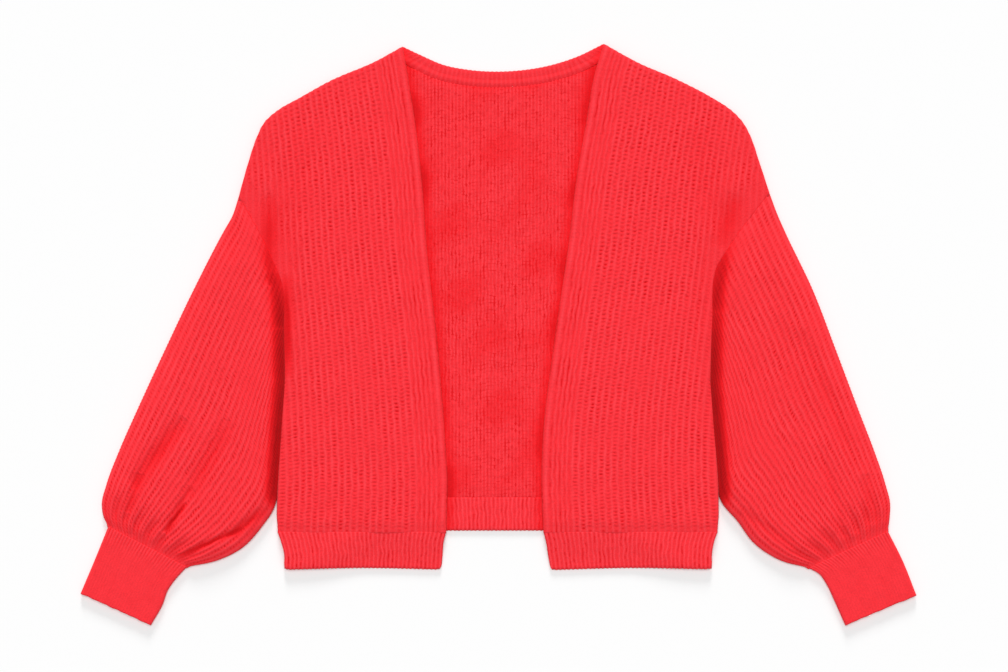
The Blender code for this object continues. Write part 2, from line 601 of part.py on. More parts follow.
def sleeve(side, material, collection):
    """Balloon sleeve as a pressed tube, from the armhole to the gathers at the cuff."""
    turn = 1.0 if side.name == "right" else -1.0
    mouth = moved_aside(armhole_run(side), -SEAM_GAP * turn)
    outer_run, inner_run = smooth_run(side.sleeve_outer), smooth_run(side.sleeve_inner)
    outer_run += mouth[0] - outer_run[0]
    inner_shift = (mouth[-1] - inner_run[0]) * (1.0 - np.linspace(0.0, 1.0, len(inner_run)))[:, None]
    inner_run += inner_shift
    cuff_seam = np.stack([outer_run[-1], inner_run[-1]])
    length = np.linalg.norm(np.diff(outer_run, axis=0), axis=1).sum()
    even = np.linspace(0.0, 1.0, SLEEVE_ROWS + 1)
    rows = seam_rows(even + ROWS_TO_CUFF * np.sin(np.pi * even), length)

    def flat_grid(u, v):
        fine, up = np.meshgrid(np.linspace(0.0, 1.0, FINE_COLUMNS + 1), v[:, 0])
        flat = patch(lambda share: along(mouth, share), lambda share: along(cuff_seam, share),
                     lambda share: along(outer_run, share), lambda share: along(inner_run, share),
                     fine, up)
        return evened(flat, lambda width: width * u)

    def gathered(u, v):
        return GATHER_DEPTH * crest(u * GATHERS) * smooth((v - GATHER_START) / GATHER_RUN)

    def hollow(flat, u, v, across):
        side_share = smooth(np.minimum(u, 1 - u) * across / HOLLOW_ROUND)
        end_share = smooth(v / HOLLOW_START) * smooth((1 - v) / HOLLOW_END)
        lift = (HOLLOW_MIDDLE - HOLLOW_SEAM) * side_share * end_share
        sunk = (fold_depth(flat, side.folds) + gathered(u, v)) * side_share
        return HOLLOW_SEAM + np.clip(lift - sunk, 0.0, HOLLOW_MIDDLE - HOLLOW_SEAM)

    near = NEAR_EDGE / SLEEVE_RIBS
    top_at = np.unique(np.concatenate([np.linspace(0.0, 1.0, 2 * SLEEVE_RIBS + 1), [near, 1 - near]]))
    u, v = np.meshgrid(top_at, rows)
    flat = flat_grid(u, v)
    across = row_widths(flat)
    dip = smooth(v * length / SEAM_DIP) * smooth((1 - v) * length / SEAM_DIP)
    thick = SEAM_WALL + (WALL - SEAM_WALL + rib_height(flat, RIB) * crest(u * SLEEVE_RIBS)) * dip
    folded = FOLD_SHOWS * (fold_depth(flat, side.folds) + gathered(u, v))
    crown = SLEEVE_BED + hollow(flat, u, v, across) + thick
    crown -= np.clip(folded, -RIDGE_LIMIT, TROUGH_LIMIT) * dip
    rounding = quarter_round(np.minimum(u, 1 - u) * across, CREASE_ROUND)
    top = with_height(flat, SLEEVE_EDGE_LEVEL + (crown - SLEEVE_EDGE_LEVEL) * rounding)

    inner_at = np.linspace(0.0, 1.0, ARMHOLE_STEPS + 1)
    bottom_at = np.unique(np.concatenate([inner_at[1:-1], [2 * near, 6 * near, 1 - 6 * near, 1 - 2 * near]]))
    u, v = np.meshgrid(bottom_at, rows)
    flat = flat_grid(u, v)
    under = quarter_round(np.minimum(u, 1 - u) * across, SLEEVE_EDGE_LEVEL)
    bottom = with_height(flat, SLEEVE_EDGE_LEVEL * (1.0 - under))
    outer = np.concatenate([top, bottom[:, ::-1]], axis=1)

    u, v = np.meshgrid(inner_at, rows)
    to_cuff = smooth((v - (1.0 - CUFF_FULL - CUFF_REACH)) / CUFF_REACH)
    corners = ARMPIT_MARGIN * (1.0 - smooth(v / ARMPIT_REACH)) + CUFF_MARGIN * to_cuff
    low, high = WALL / across, 1.0 - (WALL + corners) / across
    kept = np.clip(u, low, high)
    u = kept + (low + (high - low) * u - kept) * smooth(v / MOUTH_REACH)
    flat = flat_grid(u, v)
    ceiling = with_height(flat, SLEEVE_BED + hollow(flat, u, v, across))
    floor = with_height(flat, SLEEVE_BED)
    inner = np.concatenate([ceiling, floor[:, ::-1]], axis=1)
    ends = [loop_places(u[row], u[row]) for row in (0, -1)]
    return tube("sleeve_" + side.name, outer, inner, loop_places(top_at, bottom_at), ends, material,
                collection)


def cuff(side, material, collection):
    """Close rib tube below the gathers, pressed flat."""
    outer_run, inner_run = smooth_run(side.cuff_outer), smooth_run(side.cuff_inner)
    length = np.linalg.norm(np.diff(outer_run, axis=0), axis=1).sum()
    rows = seam_rows(np.linspace(0.0, 1.0, 4), length)
    ahead = outer_run[-1] + inner_run[-1] - outer_run[0] - inner_run[0]
    step = SEAM_GAP * ahead / np.linalg.norm(ahead)

    def flat_grid(u, v):
        low, high = np.stack([outer_run[-1], inner_run[-1]]), np.stack([outer_run[0], inner_run[0]])
        flat = patch(lambda share: along(high, share), lambda share: along(low, share),
                     lambda share: along(outer_run, share), lambda share: along(inner_run, share), u, v)
        return flat + 1.2 * step * (1.0 - v)[..., None]

    near = CUFF_NEAR_EDGE / CUFF_RIBS
    top_at = np.unique(np.concatenate([np.linspace(0.0, 1.0, 2 * CUFF_RIBS + 1), [near, 1 - near]]))
    u, v = np.meshgrid(top_at, rows)
    flat = flat_grid(u, v)
    across = row_widths(flat)
    ends = smooth(v * length / NEAR_SEAM) * smooth((1 - v) * length / NEAR_SEAM)
    thick = BAND_WALL - SEAM_WALL + CUFF_RIB * crest(u * CUFF_RIBS)
    crown = BAND_WALL + CUFF_HOLLOW + SEAM_WALL + thick * (CUFF_SEAM_SHARE + (1.0 - CUFF_SEAM_SHARE) * ends)
    rounding = quarter_round(np.minimum(u, 1 - u) * across, CUFF_ROUND)
    top = with_height(flat, CUFF_EDGE_LEVEL + (crown - CUFF_EDGE_LEVEL) * rounding)

    bottom_at = np.linspace(0.0, 1.0, CUFF_RIBS // 3 + 1)[1:-1]
    bottom_at = np.unique(np.concatenate([bottom_at, [2 * near, 1 - 2 * near]]))
    u, v = np.meshgrid(bottom_at, rows)
    flat = flat_grid(u, v)
    under = quarter_round(np.minimum(u, 1 - u) * across, 0.8 * CUFF_EDGE_LEVEL)
    bottom = with_height(flat, CUFF_EDGE_LEVEL * (1.0 - under))
    outer = np.concatenate([top, bottom[:, ::-1]], axis=1)

    inner_at = np.linspace(0.0, 1.0, CUFF_RIBS // 3 + 1)
    u, v = np.meshgrid(inner_at, rows)
    margin = BAND_WALL / across
    u = np.clip(u, margin, 1.0 - margin)
    flat = flat_grid(u, v)
    rise = CUFF_HOLLOW * smooth(np.minimum(u, 1 - u) * across / CUFF_HOLLOW_ROUND)
    ceiling = with_height(flat, BAND_WALL + 0.1 + rise * 0.9)
    floor = with_height(flat, BAND_WALL)
    inner = np.concatenate([ceiling, floor[:, ::-1]], axis=1)
    ends = [loop_places(u[row], u[row]) for row in (0, -1)]
    return tube("cuff_" + side.name, outer, inner, loop_places(top_at, bottom_at), ends, material,
                collection)


def clear_scene():
    """Remove whatever the new scene holds."""
    for item in list(bpy.data.objects):
        bpy.data.objects.remove(item, do_unlink=True)


def main():
    """Make the eleven pieces of the cardigan."""
    clear_scene()
    collection = bpy.data.collections.new("open_front_cardigan")
    bpy.context.scene.collection.children.link(collection)
    back_panel(knit_material("back_wool", BODY_RED), collection)
    back_hem(knit_material("back_hem_wool", BAND_RED), collection)
    back_neckband(knit_material("neckband_wool", BAND_RED), collection)
    for side in (RIGHT, LEFT):
        front_panel(side, knit_material("front_wool_" + side.name, BODY_RED), collection)
        front_hem(side, knit_material("front_hem_wool_" + side.name, BAND_RED), collection)
        sleeve(side, knit_material("sleeve_wool_" + side.name, BODY_RED), collection)
        cuff(side, knit_material("cuff_wool_" + side.name, CUFF_RED), collection)


main()
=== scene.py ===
"""Looks of an open-front knit cardigan with balloon sleeves, laid flat with its fronts upward.

Every piece is a wall of wool worked out on a grid of two shares, u across it and v along it.
Tables are in millimetres: x towards the wearer's left, y towards the neck, z up from the surface
that the cardigan lies on. Left and right are the wearer's.
"""

from collections import namedtuple
from types import SimpleNamespace

import bpy
import numpy as np
from bpy.props import FloatProperty, FloatVectorProperty, PointerProperty
from bpy.types import Operator, Panel, PropertyGroup
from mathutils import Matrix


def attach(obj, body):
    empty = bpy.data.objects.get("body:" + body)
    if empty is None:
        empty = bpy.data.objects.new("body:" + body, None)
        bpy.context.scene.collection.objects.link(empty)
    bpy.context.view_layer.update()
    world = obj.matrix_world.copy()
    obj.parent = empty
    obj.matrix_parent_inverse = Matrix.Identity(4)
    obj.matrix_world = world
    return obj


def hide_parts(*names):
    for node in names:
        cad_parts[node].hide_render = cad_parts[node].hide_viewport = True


bl_info = {
    "name": "Open-front knit cardigan",
    "version": (1, 0, 0),
    "blender": (4, 5, 0),
    "location": "3D View > Sidebar > Cardigan",
    "description": "Makes the wool pieces of a laid-out cardigan and the stage that it lies on",
    "category": "Object",
}

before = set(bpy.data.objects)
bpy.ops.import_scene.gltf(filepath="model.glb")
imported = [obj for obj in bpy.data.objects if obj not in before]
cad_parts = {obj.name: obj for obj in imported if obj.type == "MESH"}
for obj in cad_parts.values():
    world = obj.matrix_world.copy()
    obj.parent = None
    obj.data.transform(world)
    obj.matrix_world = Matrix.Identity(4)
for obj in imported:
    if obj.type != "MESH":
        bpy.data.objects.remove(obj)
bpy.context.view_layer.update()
MM = 0.001                # metres in a millimetre

# Cloth
SEAM_GAP = 0.1            # between two pieces that are sewn together
WALL = 3.0                # tuck-rib cloth, without the ribs that stand on it
SEAM_WALL = 1.6           # cloth drawn thin at a seam or rolled thin at a free edge
BACK_WALL = 2.2           # back panel between its fine ribs
BAND_WALL = 2.0           # close rib of the hems, neckband and cuffs
FOOT_WALL = 0.9           # the back hem rolled thin at its foot

# Ribs across each piece, and points of the grid across each of them
FRONT_RIBS = 26
SLEEVE_RIBS = 27
FRONT_HEM_RIBS = 38
BACK_HEM_RIBS = 104
CUFF_RIBS = 27
NECK_RIBS = 48
POINTS_PER_RIB = 6
POINTS_PER_FINE_RIB = 4
# Rows of points along each piece, and on the side that it rests on or in its hollow
BACK_ROWS = 241, 25
BACK_HEM_ROWS = 29, 5
NECK_ROWS = 25, 4
FRONT_ROWS = 481, 25
FRONT_HEM_ROWS = 41, 9
SLEEVE_ROWS = 381, 21
CUFF_ROWS = 71, 7
HOLLOW_COLUMNS = 19       # across the hollow of a sleeve or cuff
PATCH_COLUMNS = 61        # across a patch before its points are spaced evenly
SLEEVE_PHASE = 10         # rib phase at which a sleeve starts, past the fronts' plain ribs
UNDER_EDGE = 0.15         # first point of a tube's underside, in ribs from its side

# Front edge
EDGE_STRIP = 9.0          # plain knitted strip beside the opening
STRIP_POINTS = (-1.0, -0.94, -0.84, -0.7, -0.54, -0.38, -0.24, -0.12)
PLAIN_RIBS = 4            # ribs beside the strip that have no tucks
PLAIN_PITCH = 5.1         # width of each of them
FRONT_PITCH = 6.75        # width of a tucked rib, level with the sleeves' lower ends
FRONT_SPREAD = 0.0015     # ribs widen by this much for each mm further down
ROW_SPREAD = 0.0004       # rows widen by this share for each mm further up

# Layers
FRONT_REST = 2.9          # under side of the fronts, on the back
FRONT_SWELL = 1.2         # lift of a front panel's middle over the back panel
SLEEVE_BED = 2.6          # lower wall of a sleeve
HOLLOW_SEAM = 0.4         # between a sleeve's two walls at its seams and sides
HOLLOW_MIDDLE = 3.8       # between them at the crown
HOLLOW_RUN = 25.0         # it opens this far in from its sides, and over these shares of the
HOLLOW_HEAD = 0.16        # sleeve's length from the armhole and from the cuff
HOLLOW_FOOT = 0.14
CUFF_HOLLOW = 0.8
ARMPIT_MARGIN = 14.0      # the hollow keeps this much further in at the armpit
CUFF_MARGIN = 9.0         # and this much at the inner end of the cuff seam
SLEEVE_EDGE_LEVEL = 3.0   # height at which a sleeve is widest
CUFF_EDGE_LEVEL = 2.2
CREASE_ROUND = 10.0       # how far in from its side a sleeve rounds down
CREASE_SLOPE = 20.0       # the same beside the body, where the sleeve dips under its edge
BODY_ROUND = 5.0          # the same at the free sides and shoulders of the fronts
BODY_BULGE = 1.6          # a front's free side stands out this far over the sleeve beside it
TUCKED_BESIDE = 0.3       # between a sleeve's inner side and the back panel's side
TUCKED_FOR = 105.0        # it lies against the back this far down from the armhole, and leaves it
TUCKED_RUN = 35.0         # over this run
DIPS_FOR = 0.42           # it dips under the body's edge over this share of its length, and
DIPS_RUN = 0.16           # rounds down as on its outer side past this run
HEM_ROUND = 3.0
CUFF_ROUND = 3.5

# Seams: the share of its thickness that the cloth keeps there
SEAM_KEEPS = 0.62         # at the armhole
FOOT_KEEPS = 0.68         # at the foot of a front
BACK_FOOT_KEEPS = 0.5     # at the foot of the back panel
NECK_KEEPS = 0.55         # at the neck seam
SLEEVE_END_KEEPS = 0.08   # at the end of a sleeve
SEAM_RUN = 14.0           # how far from a seam the cloth thins towards it
SEAM_DIP = 7.0            # the same at the neck seam
SEAM_LAP = 1.5            # the upper piece runs on this far past a seam, under its neighbour's top
LAP_DROP = 0.35
LAP_RUN = 2.0
NECK_HALF = 95.0          # half width over which the back runs on under the neckband
NECK_LAP_RUN = 4.0
SEAM_RIBS = 0.2           # share of a rib's height that is left at a hem seam
RIB_FADE = 9.0            # how far from the seam the ribs fade

# Hems
HEM_SEAM_Y = -213.0
HEM_FOOT_Y = -253.0
BACK_SEAM_LIFT = 37.0     # the back rides up in the middle, where the opening shows it
BACK_FOOT_LIFT = 41.2
LIFT_FLAT = 120.0         # half width over which the back stays up
LIFT_END = 225.0          # half width at which it is down again
SAG_START = -6.0          # a front hem sags to the floor past the foot of the back
SAG_RUN = 46.0
HEM_CORNER = 5.0          # radius of the corners at the foot of a front hem
BAND_HEIGHT = 17.5        # neckband
OPENING_HALF = 130.0      # half width of the back that the opening can show

# Gathers at the cuff
GATHERS = 9
GATHER_DEPTH = 1.4
GATHER_START = 0.84       # share of the sleeve's length

CROWDED = 5.0             # ribs stand lower where they are closer together than this

# Hand knitting
WOBBLE = 0.9              # how far stitches stray, and over what length
WOBBLE_SCALE = 13.0
BAND_WOBBLE = 1.4         # the same on the hems, as a multiple
RIB_ENDS = 0.7            # how far rib ends stand out at the shoulder, neck and foot
ROW_ENDS = 0.5            # how far rows stand out at the sides of the sleeves

EDGE_STILL = 12.0         # they stray less from here out to the edges of a front,
BACK_STILL = 20.0         # and to the part of the back that the fronts hide

# Slow uneven swells: the length of each, and the seed that sets it apart
FRONT_SOFT = 55.0, 2.2
SLEEVE_SOFT = 50.0, 1.1
CUFF_SOFT = 22.0, 0.9
CUFF_END = 16.0, 2.9
WEAR = 46.0, 3.3
BACK_WEAR = 30.0, 1.4
BACK_MOTTLE = 70.0, 2.6
SOFT_LIFT = 0.35          # height of the swell of the fronts and sleeves
CUFF_SOFT_LIFT = 0.25

# Share of the stitches' marks that wear has felted away
CUFF_WORN_HEAD = 0.15     # at the gathers
CUFF_WORN = 0.85          # at the wrist
NECKBAND_WORN = 0.5
SLEEVE_END_WORN = 0.3     # at the last SLEEVE_END_RUN of the sleeve's length
SLEEVE_END_RUN = 0.08
SIDE_WORN = 0.6           # beside a front's side seam

# Painted shade in the crease between a sleeve and the body
CREASED_BELOW = 20.0      # from here down the sleeve goes under the body, and from the run above
CREASED_RUN = 60.0        # here up they are joined level
CREASE_TOP = 120.0        # the painted shade starts here, and is at its darkest this much further down
CREASE_RUN = 150.0
CREASE_FOOT = -195.0
CREASE_FOOT_RUN = 25.0
CREASE_CORE = 4.5         # width of the painted shade's dark core on the sleeve, and of its soft side
CREASE_FADE = 16.0
OPENING_SHADE = 0.42      # how much shade is painted on the back beside the edges of the fronts
OPENING_FADE = 15.0

# Marks of the stitches painted on the wool as shade and highlight, in ribs across and rows along
DIMPLE_ACROSS = 0.34      # radii of the spot of painted shade at a tuck
DIMPLE_ALONG = 0.37
GROOVE_WIDTH = 0.26       # half widths of the lines of painted shade in the grooves and between the rows
DASH_WIDTH = 0.22
CREST_WIDTH = 0.46, 0.24  # distance from a groove at which the painted highlight on the crest is full, and starts
NAP = 1.5 * MM            # lengths of the fibres, the felted patches and the fine bump
FELT_PATCH = 9.0 * MM
FIBRE = 0.9 * MM
FIBRE_HEIGHT = 0.35 * MM

# Stage, in metres
FLOOR_HALF = 6.0
FLOOR_DROP = 0.0005       # the floor lies this far under the cloth
WORLD_LIGHT = 0.34
CAMERA_HEIGHT = 3.2
FOCUS_HEIGHT = 0.006
VIEW_WIDTH = 1.0878
VIEW_CENTRE = 0.0064, -0.0016
SENSOR = 36.0             # in millimetres
Softbox = namedtuple("Softbox", "name share tilt spread")
#  share of the floor's light, degrees from overhead towards the neck, and softness in degrees
SOFTBOXES = (Softbox("softbox_above", 0.53, 12.0, 42.0), Softbox("softbox_behind", 0.165, 74.0, 13.0))

#  x, y of each point along the curve
Side = namedtuple("Side", "name shoulder front_edge side_seam armhole sleeve_outer sleeve_inner "
                          "cuff_outer cuff_inner hem_edge hem_side hem_foot folds front_folds")
#   start and end of a soft fold, its half width, its depth (a ridge has a negative depth) and how
#   much shade is painted on the wool along it
Fold = namedtuple("Fold", "start end width depth shade")

RIGHT = Side(
    name="right",
    shoulder=((-103, 311), (-134, 294), (-181, 274), (-215, 255), (-238, 242), (-252.5, 229),
              (-261, 212), (-269, 188), (-280, 149)),
    front_edge=((-56, -213), (-55, -158), (-58, -104), (-66, -6), (-77, 91), (-83, 172),
                (-90, 231), (-97, 276), (-103, 311)),
    side_seam=((-238, -213), (-237, -179), (-234, -125), (-229, -50)),
    armhole=((-280, 149), (-251, 96), (-231, 48), (-230, 4), (-229, -50)),
    sleeve_outer=((-280, 149), (-287, 128), (-296, 112), (-329, 48), (-360, -17), (-390, -82),
                  (-409, -125), (-423, -162), (-428, -183), (-426, -197), (-421, -207)),
    sleeve_inner=((-229, -50), (-233, -93), (-236.2, -147), (-238.6, -174), (-243, -190),
                  (-253, -205), (-277, -231), (-303, -244), (-336, -251)),
    cuff_outer=((-421, -207), (-436, -244), (-451, -279.5)),
    cuff_inner=((-336, -251), (-348, -264), (-357, -277), (-362, -291), (-375, -314)),
    hem_edge=((-56, -213), (-59, -225), (-60, -240), (-61, -254)),
    hem_side=((-238, -213), (-234, -225), (-231, -238), (-231, -254)),
    hem_foot=((-61, -254), (-146, -252.2), (-231, -254)),
    folds=(
        Fold((-272, 140), (-278, 4), 11, -1.2, 0.0),
        Fold((-247, 152), (-246, 52), 9, 1.2, 0.45),
        Fold((-244, 66), (-236, 6), 9, 1.4, 0.35),
        Fold((-283, 139), (-287, 76), 6, 1.2, 0.1),
        Fold((-338, -90), (-394, -165), 9, 1.8, 0.38),
        Fold((-386, -150), (-399, -192), 6, 1.2, 0.3),
        Fold((-288, -94), (-335, -176), 10, 1.1, 0.25),
        Fold((-330, -165), (-360, -214), 5, 1.7, 0.25),
        Fold((-336, -182), (-360, -214), 2.2, 1.2, 0.6),
        Fold((-250, -188), (-292, -220), 5, 1.6, 0.45),
        Fold((-276, -209), (-349, -241), 2.6, 1.8, 0.6),
        Fold((-284, -226), (-330, -244), 4, -0.6, 0.0),
        Fold((-262, 20), (-276, -120), 12, -0.8, 0.0),
    ),
    front_folds=(
        Fold((-205, 230), (-232, 90), 16, 0.7, 0.08),
        Fold((-247, 152), (-246, 52), 9, 1.2, 0.45),
        Fold((-228, 66), (-226, -48), 5, 0.6, 0.6),
        Fold((-150, 60), (-142, -150), 24, -0.5, 0.0),
        Fold((-226, 120), (-214, 0), 8, 0.6, 0.05),
    ),
)
LEFT = Side(
    name="left",
    shoulder=((114, 314), (150, 294), (196, 274), (232, 255), (252, 242), (264.5, 229),
              (273.5, 212), (281.5, 188), (293, 153)),
    front_edge=((49, -213), (47, -158), (49, -104), (61, -6), (76, 96), (86, 177), (96, 233),
                (103, 276), (114, 314)),
    side_seam=((237, -213), (236, -158), (232, -104), (228, -50)),
    armhole=((293, 153), (251, 97), (235, 72), (230, 15), (228, -50)),
    sleeve_outer=((293, 153), (302, 129), (309.5, 112), (340, 48), (365, -17), (389.5, -82),
                  (406, -125), (418.5, -162), (423.5, -183), (423, -197), (421, -212)),
    sleeve_inner=((228, -50), (232.8, -104), (235.8, -145), (238.2, -168), (243, -183),
                  (258, -201), (276, -225), (305, -244), (335, -252)),
    cuff_outer=((421, -212), (437, -244), (452, -281.5)),
    cuff_inner=((335, -252), (347, -259), (356, -272), (363, -287), (375, -314)),
    hem_edge=((49, -213), (52, -225), (54, -240), (56, -254.5)),
    hem_side=((237, -213), (233, -225), (231, -238), (231, -253.5)),
    hem_foot=((56, -254.5), (144, -252.2), (231, -253.5)),
    folds=(
        Fold((268, 118), (250, 20), 10, -1.0, 0.0),
        Fold((258, 152), (240, 92), 10, 1.1, 0.35),
        Fold((245, 112), (236, 24), 10, 1.4, 0.45),
        Fold((327, 4), (390, -150), 9, 1.2, 0.12),
        Fold((398, -150), (402, -205), 6, 1.2, 0.15),
        Fold((262, -190), (330, -238), 6, 1.2, 0.15),
        Fold((262, -60), (300, -160), 14, -0.7, 0.0),
        Fold((345, -120), (372, -205), 5, 0.9, 0.1),
        Fold((300, 20), (345, -110), 12, 0.6, 0.05),
    ),
    front_folds=(
        Fold((215, 225), (236, 110), 15, 0.7, 0.08),
        Fold((258, 152), (240, 92), 10, 1.1, 0.35),
        Fold((150, 40), (138, -160), 24, -0.5, 0.0),
        Fold((222, 110), (213, -20), 8, 0.5, 0.05),
    ),
)
#  x, y along the top of the neckband, from the right neck point to the left one
NECK_TOP = ((-103, 311), (-84, 302), (-58, 291), (-32, 286), (20, 285), (59, 291.5), (85, 300),
            (114, 314))

# Neckband rows: share of the band's height, thickness, share of a rib that stands on it and
# how much shade is painted on the wool there
NECKBAND_ROWS = ((0.00, 1.9, 0.0, 0.22), (0.07, 2.1, 0.0, 0.14), (0.17, 2.5, 0.1, 0.03),
                 (0.28, 2.7, 0.1, 0.00), (0.38, 2.5, 0.1, 0.02), (0.46, 2.1, 0.2, 0.06),
                 (0.56, 2.2, 0.3, 0.02), (0.75, 2.3, 0.4, 0.00), (0.88, 2.2, 0.4, 0.00),
                 (0.96, 1.8, 0.5, 0.00), (1.00, 1.0, 0.4, 0.00))

# Flat size of each piece as it was cut: width and length in metres, and area in square metres
Cut = namedtuple("Cut", "width length area")


# ---------------------------------------------------------------- curves

def even(count):
    """Evenly spaced shares from 0 to 1, with both ends."""
    return np.linspace(0.0, 1.0, count)


def paired(first, second):
    """Two values for each place, as the last axis of one array."""
    return np.stack(np.broadcast_arrays(first, second), axis=-1)


def length_shares(points):
    """Share of a run's length at each of its points."""
    lengths = np.concatenate([[0.0], np.cumsum(np.linalg.norm(np.diff(points, axis=0), axis=1))])
    return lengths / lengths[-1]


def looked_up(wanted, at, points):
    """Points at wanted places of a run of straight lines, whose own points are at the places at."""
    return paired(*(np.interp(wanted, at, points[..., axis].ravel()) for axis in (0, 1)))


def along(run, shares):
    """Points at shares of a run's length."""
    return looked_up(shares, length_shares(run), run)


def on(run):
    """A run as a function of the share of its length."""
    return lambda shares: along(run, shares)


def over_x(start, end, y_of):
    """The run from x = start to x = end on which y is a function of x, as a function of its share."""
    def at(share):
        x = start + (end - start) * share
        return paired(x, y_of(x))
    return at


def smooth_run(table, count=600):
    """A fine run of points on the cubic curve through a table's points.

    Between two points with slopes m and n over a step h, the curve is
    (2t^3 - 3t^2 + 1) p + (t^3 - 2t^2 + t) h m + (3t^2 - 2t^3) q + (t^3 - t^2) h n.
    """
    points = np.asarray(table, dtype=float)
    at = length_shares(points)
    slopes = np.gradient(points, at, axis=0)
    place = even(count)
    first = np.clip(np.searchsorted(at, place, side="right") - 1, 0, len(at) - 2)
    step = (at[first + 1] - at[first])[:, None]
    t = (place - at[first])[:, None] / step
    return ((2 * t**3 - 3 * t**2 + 1) * points[first] + (t**3 - 2 * t**2 + t) * step * slopes[first]
            + (3 * t**2 - 2 * t**3) * points[first + 1] + (t**3 - t**2) * step * slopes[first + 1])


def spaced_in_x(table, shares):
    """Points on the curve through a table, evenly spaced in x and not along the curve."""
    run = smooth_run(table)
    x = run[0, 0] + (run[-1, 0] - run[0, 0]) * np.asarray(shares)
    order = np.argsort(run[:, 0])
    return paired(x, np.interp(x, run[order, 0], run[order, 1]))


def x_of(run, y):
    """x of a run at each y."""
    return np.interp(y, run[:, 1], run[:, 0])


def moved_aside(run, distance):
    """A run moved sideways by a distance, to its left where that is positive."""
    ahead = np.gradient(run, axis=0)
    normal = np.stack([-ahead[:, 1], ahead[:, 0]], axis=-1)
    return run + distance * normal / np.linalg.norm(normal, axis=1, keepdims=True)


def smooth(t):
    """Zero below 0, one above 1, and t^2 (3 - 2t) between them."""
    t = np.clip(t, 0.0, 1.0)
    return t * t * (3.0 - 2.0 * t)


def near(distance, reach):
    """One at no distance and zero from the reach on: 1 - smooth(d / r)."""
    return 1.0 - smooth(distance / reach)


def quarter_round(distance, radius):
    """Height share of a rounded side, sqrt(1 - (1 - d/r)^2) at a distance d in from its edge."""
    t = 1.0 - np.clip(distance / radius, 0.0, 1.0)
    return np.sqrt(1.0 - t * t)


def domed(u, v=0.5):
    """sqrt(sin pi u sin pi v), one in the middle of a piece and zero at its edges."""
    inside = np.sin(np.pi * np.clip(u, 0.0, 1.0)) * np.sin(np.pi * np.clip(v, 0.0, 1.0))
    return np.sqrt(inside + 1e-9)


def crest(phase):
    """One on the top of each rib and zero in each groove: (1 - cos 2 pi p) / 2."""
    return 0.5 - 0.5 * np.cos(2.0 * np.pi * phase)


def chance(first, second):
    """A fixed number from 0 to 1 for each pair: frac(sin(12.9898 a + 78.233 b) * 43758.5)."""
    wave = np.sin(first * 12.9898 + second * 78.233) * 43758.5453
    return wave - np.floor(wave)


def patch(foot, head, start, end, u, v):
    """Points of the patch between four curves: foot and head run with u, start and end with v.

    p = (1-v) foot(u) + v head(u) + (1-u) start(v) + u end(v) - the same blend of its four corners.
    """
    across, up = u[..., None], v[..., None]
    ruled = (1 - up) * foot(u) + up * head(u) + (1 - across) * start(v) + across * end(v)
    first, last = 0.0 * u, 0.0 * u + 1
    return (ruled - (1 - up) * ((1 - across) * foot(first) + across * foot(last))
            - up * ((1 - across) * head(first) + across * head(last)))


def row_widths(flat):
    """Width of each row of points, as a column."""
    return np.linalg.norm(flat[:, -1] - flat[:, 0], axis=-1)[:, None]


def from_sides(u, across):
    """Distance in from the nearer side, where a row is this wide across."""
    return np.minimum(u, 1.0 - u) * across


def distance_up(flat):
    """Distance of each point from the foot of its own column."""
    steps = np.linalg.norm(np.diff(flat, axis=0), axis=-1)
    return np.concatenate([np.zeros((1, flat.shape[1])), np.cumsum(steps, axis=0)])


def evened(flat, distances, axes=(0, 1)):
    """Each row's points moved along it to new distances from its first point.

    The distances are measured along the given axes alone. All rows are looked up in one run,
    where each row starts a little past the end of the last.
    """
    steps = np.linalg.norm(np.diff(flat[..., list(axes)], axis=1), axis=-1)
    reached = np.concatenate([np.zeros((len(flat), 1)), np.cumsum(steps, axis=1)], axis=1)
    starts = np.concatenate([[0.0], np.cumsum(reached[:-1, -1] + 1.0)])[:, None]
    wanted = np.clip(distances(reached[:, -1:]), 0.0, reached[:, -1:]) + starts
    return looked_up(wanted, (reached + starts).ravel(), flat)


def folded(flat, folds, of="depth"):
    """Sum at each point of the soft folds' depths or shades: each times exp(-(d/w)^2) sqrt(sin pi s).

    d is the distance from the fold's line and s the share of its length.
    """
    total = np.zeros(flat.shape[:-1])
    for fold in folds:
        start, end = np.array(fold.start, float), np.array(fold.end, float)
        line = end - start
        share = np.clip(((flat - start) @ line) / (line @ line), 0.0, 1.0)
        distance = np.linalg.norm(flat - start - share[..., None] * line, axis=-1)
        total += getattr(fold, of) * np.exp(-(distance / fold.width) ** 2) * np.sqrt(np.sin(np.pi * share))
    return total


# ---------------------------------------------------------------- knit

def across_ribs(ribs):
    """Shares of the points across a number of ribs."""
    return even(ribs * POINTS_PER_RIB + 1)


def unevenness(flat, scale, seed):
    """A slow uneven swell from -1 to 1: the mean of four crossed sine waves about scale long."""
    total = np.zeros(flat.shape[:-1])
    for turn in range(4):
        angle = seed + 2.4 * turn
        wave = 2.0 * np.pi / (scale * (0.7 + 0.25 * turn))
        total += np.sin(wave * (flat[..., 0] * np.cos(angle) + flat[..., 1] * np.sin(angle)) + 5.1 * seed)
    return total / 4.0


def hand_knit(flat, keep):
    """Points moved by up to the wobble over a slow swell, and by none where keep is zero."""
    aside = paired(unevenness(flat, WOBBLE_SCALE, 0.3), unevenness(flat, WOBBLE_SCALE, 1.7))
    return flat + WOBBLE * aside * keep[..., None]


def felted(flat, folds):
    """How far the stitches are worn away, 0 to 0.8: 0.45 times a slow swell, and more on ridges."""
    swell = smooth(0.45 + 1.1 * unevenness(flat, *WEAR))
    return np.clip(0.45 * swell + 0.4 * np.clip(-folded(flat, folds), 0.0, 1.0), 0.0, 0.8)


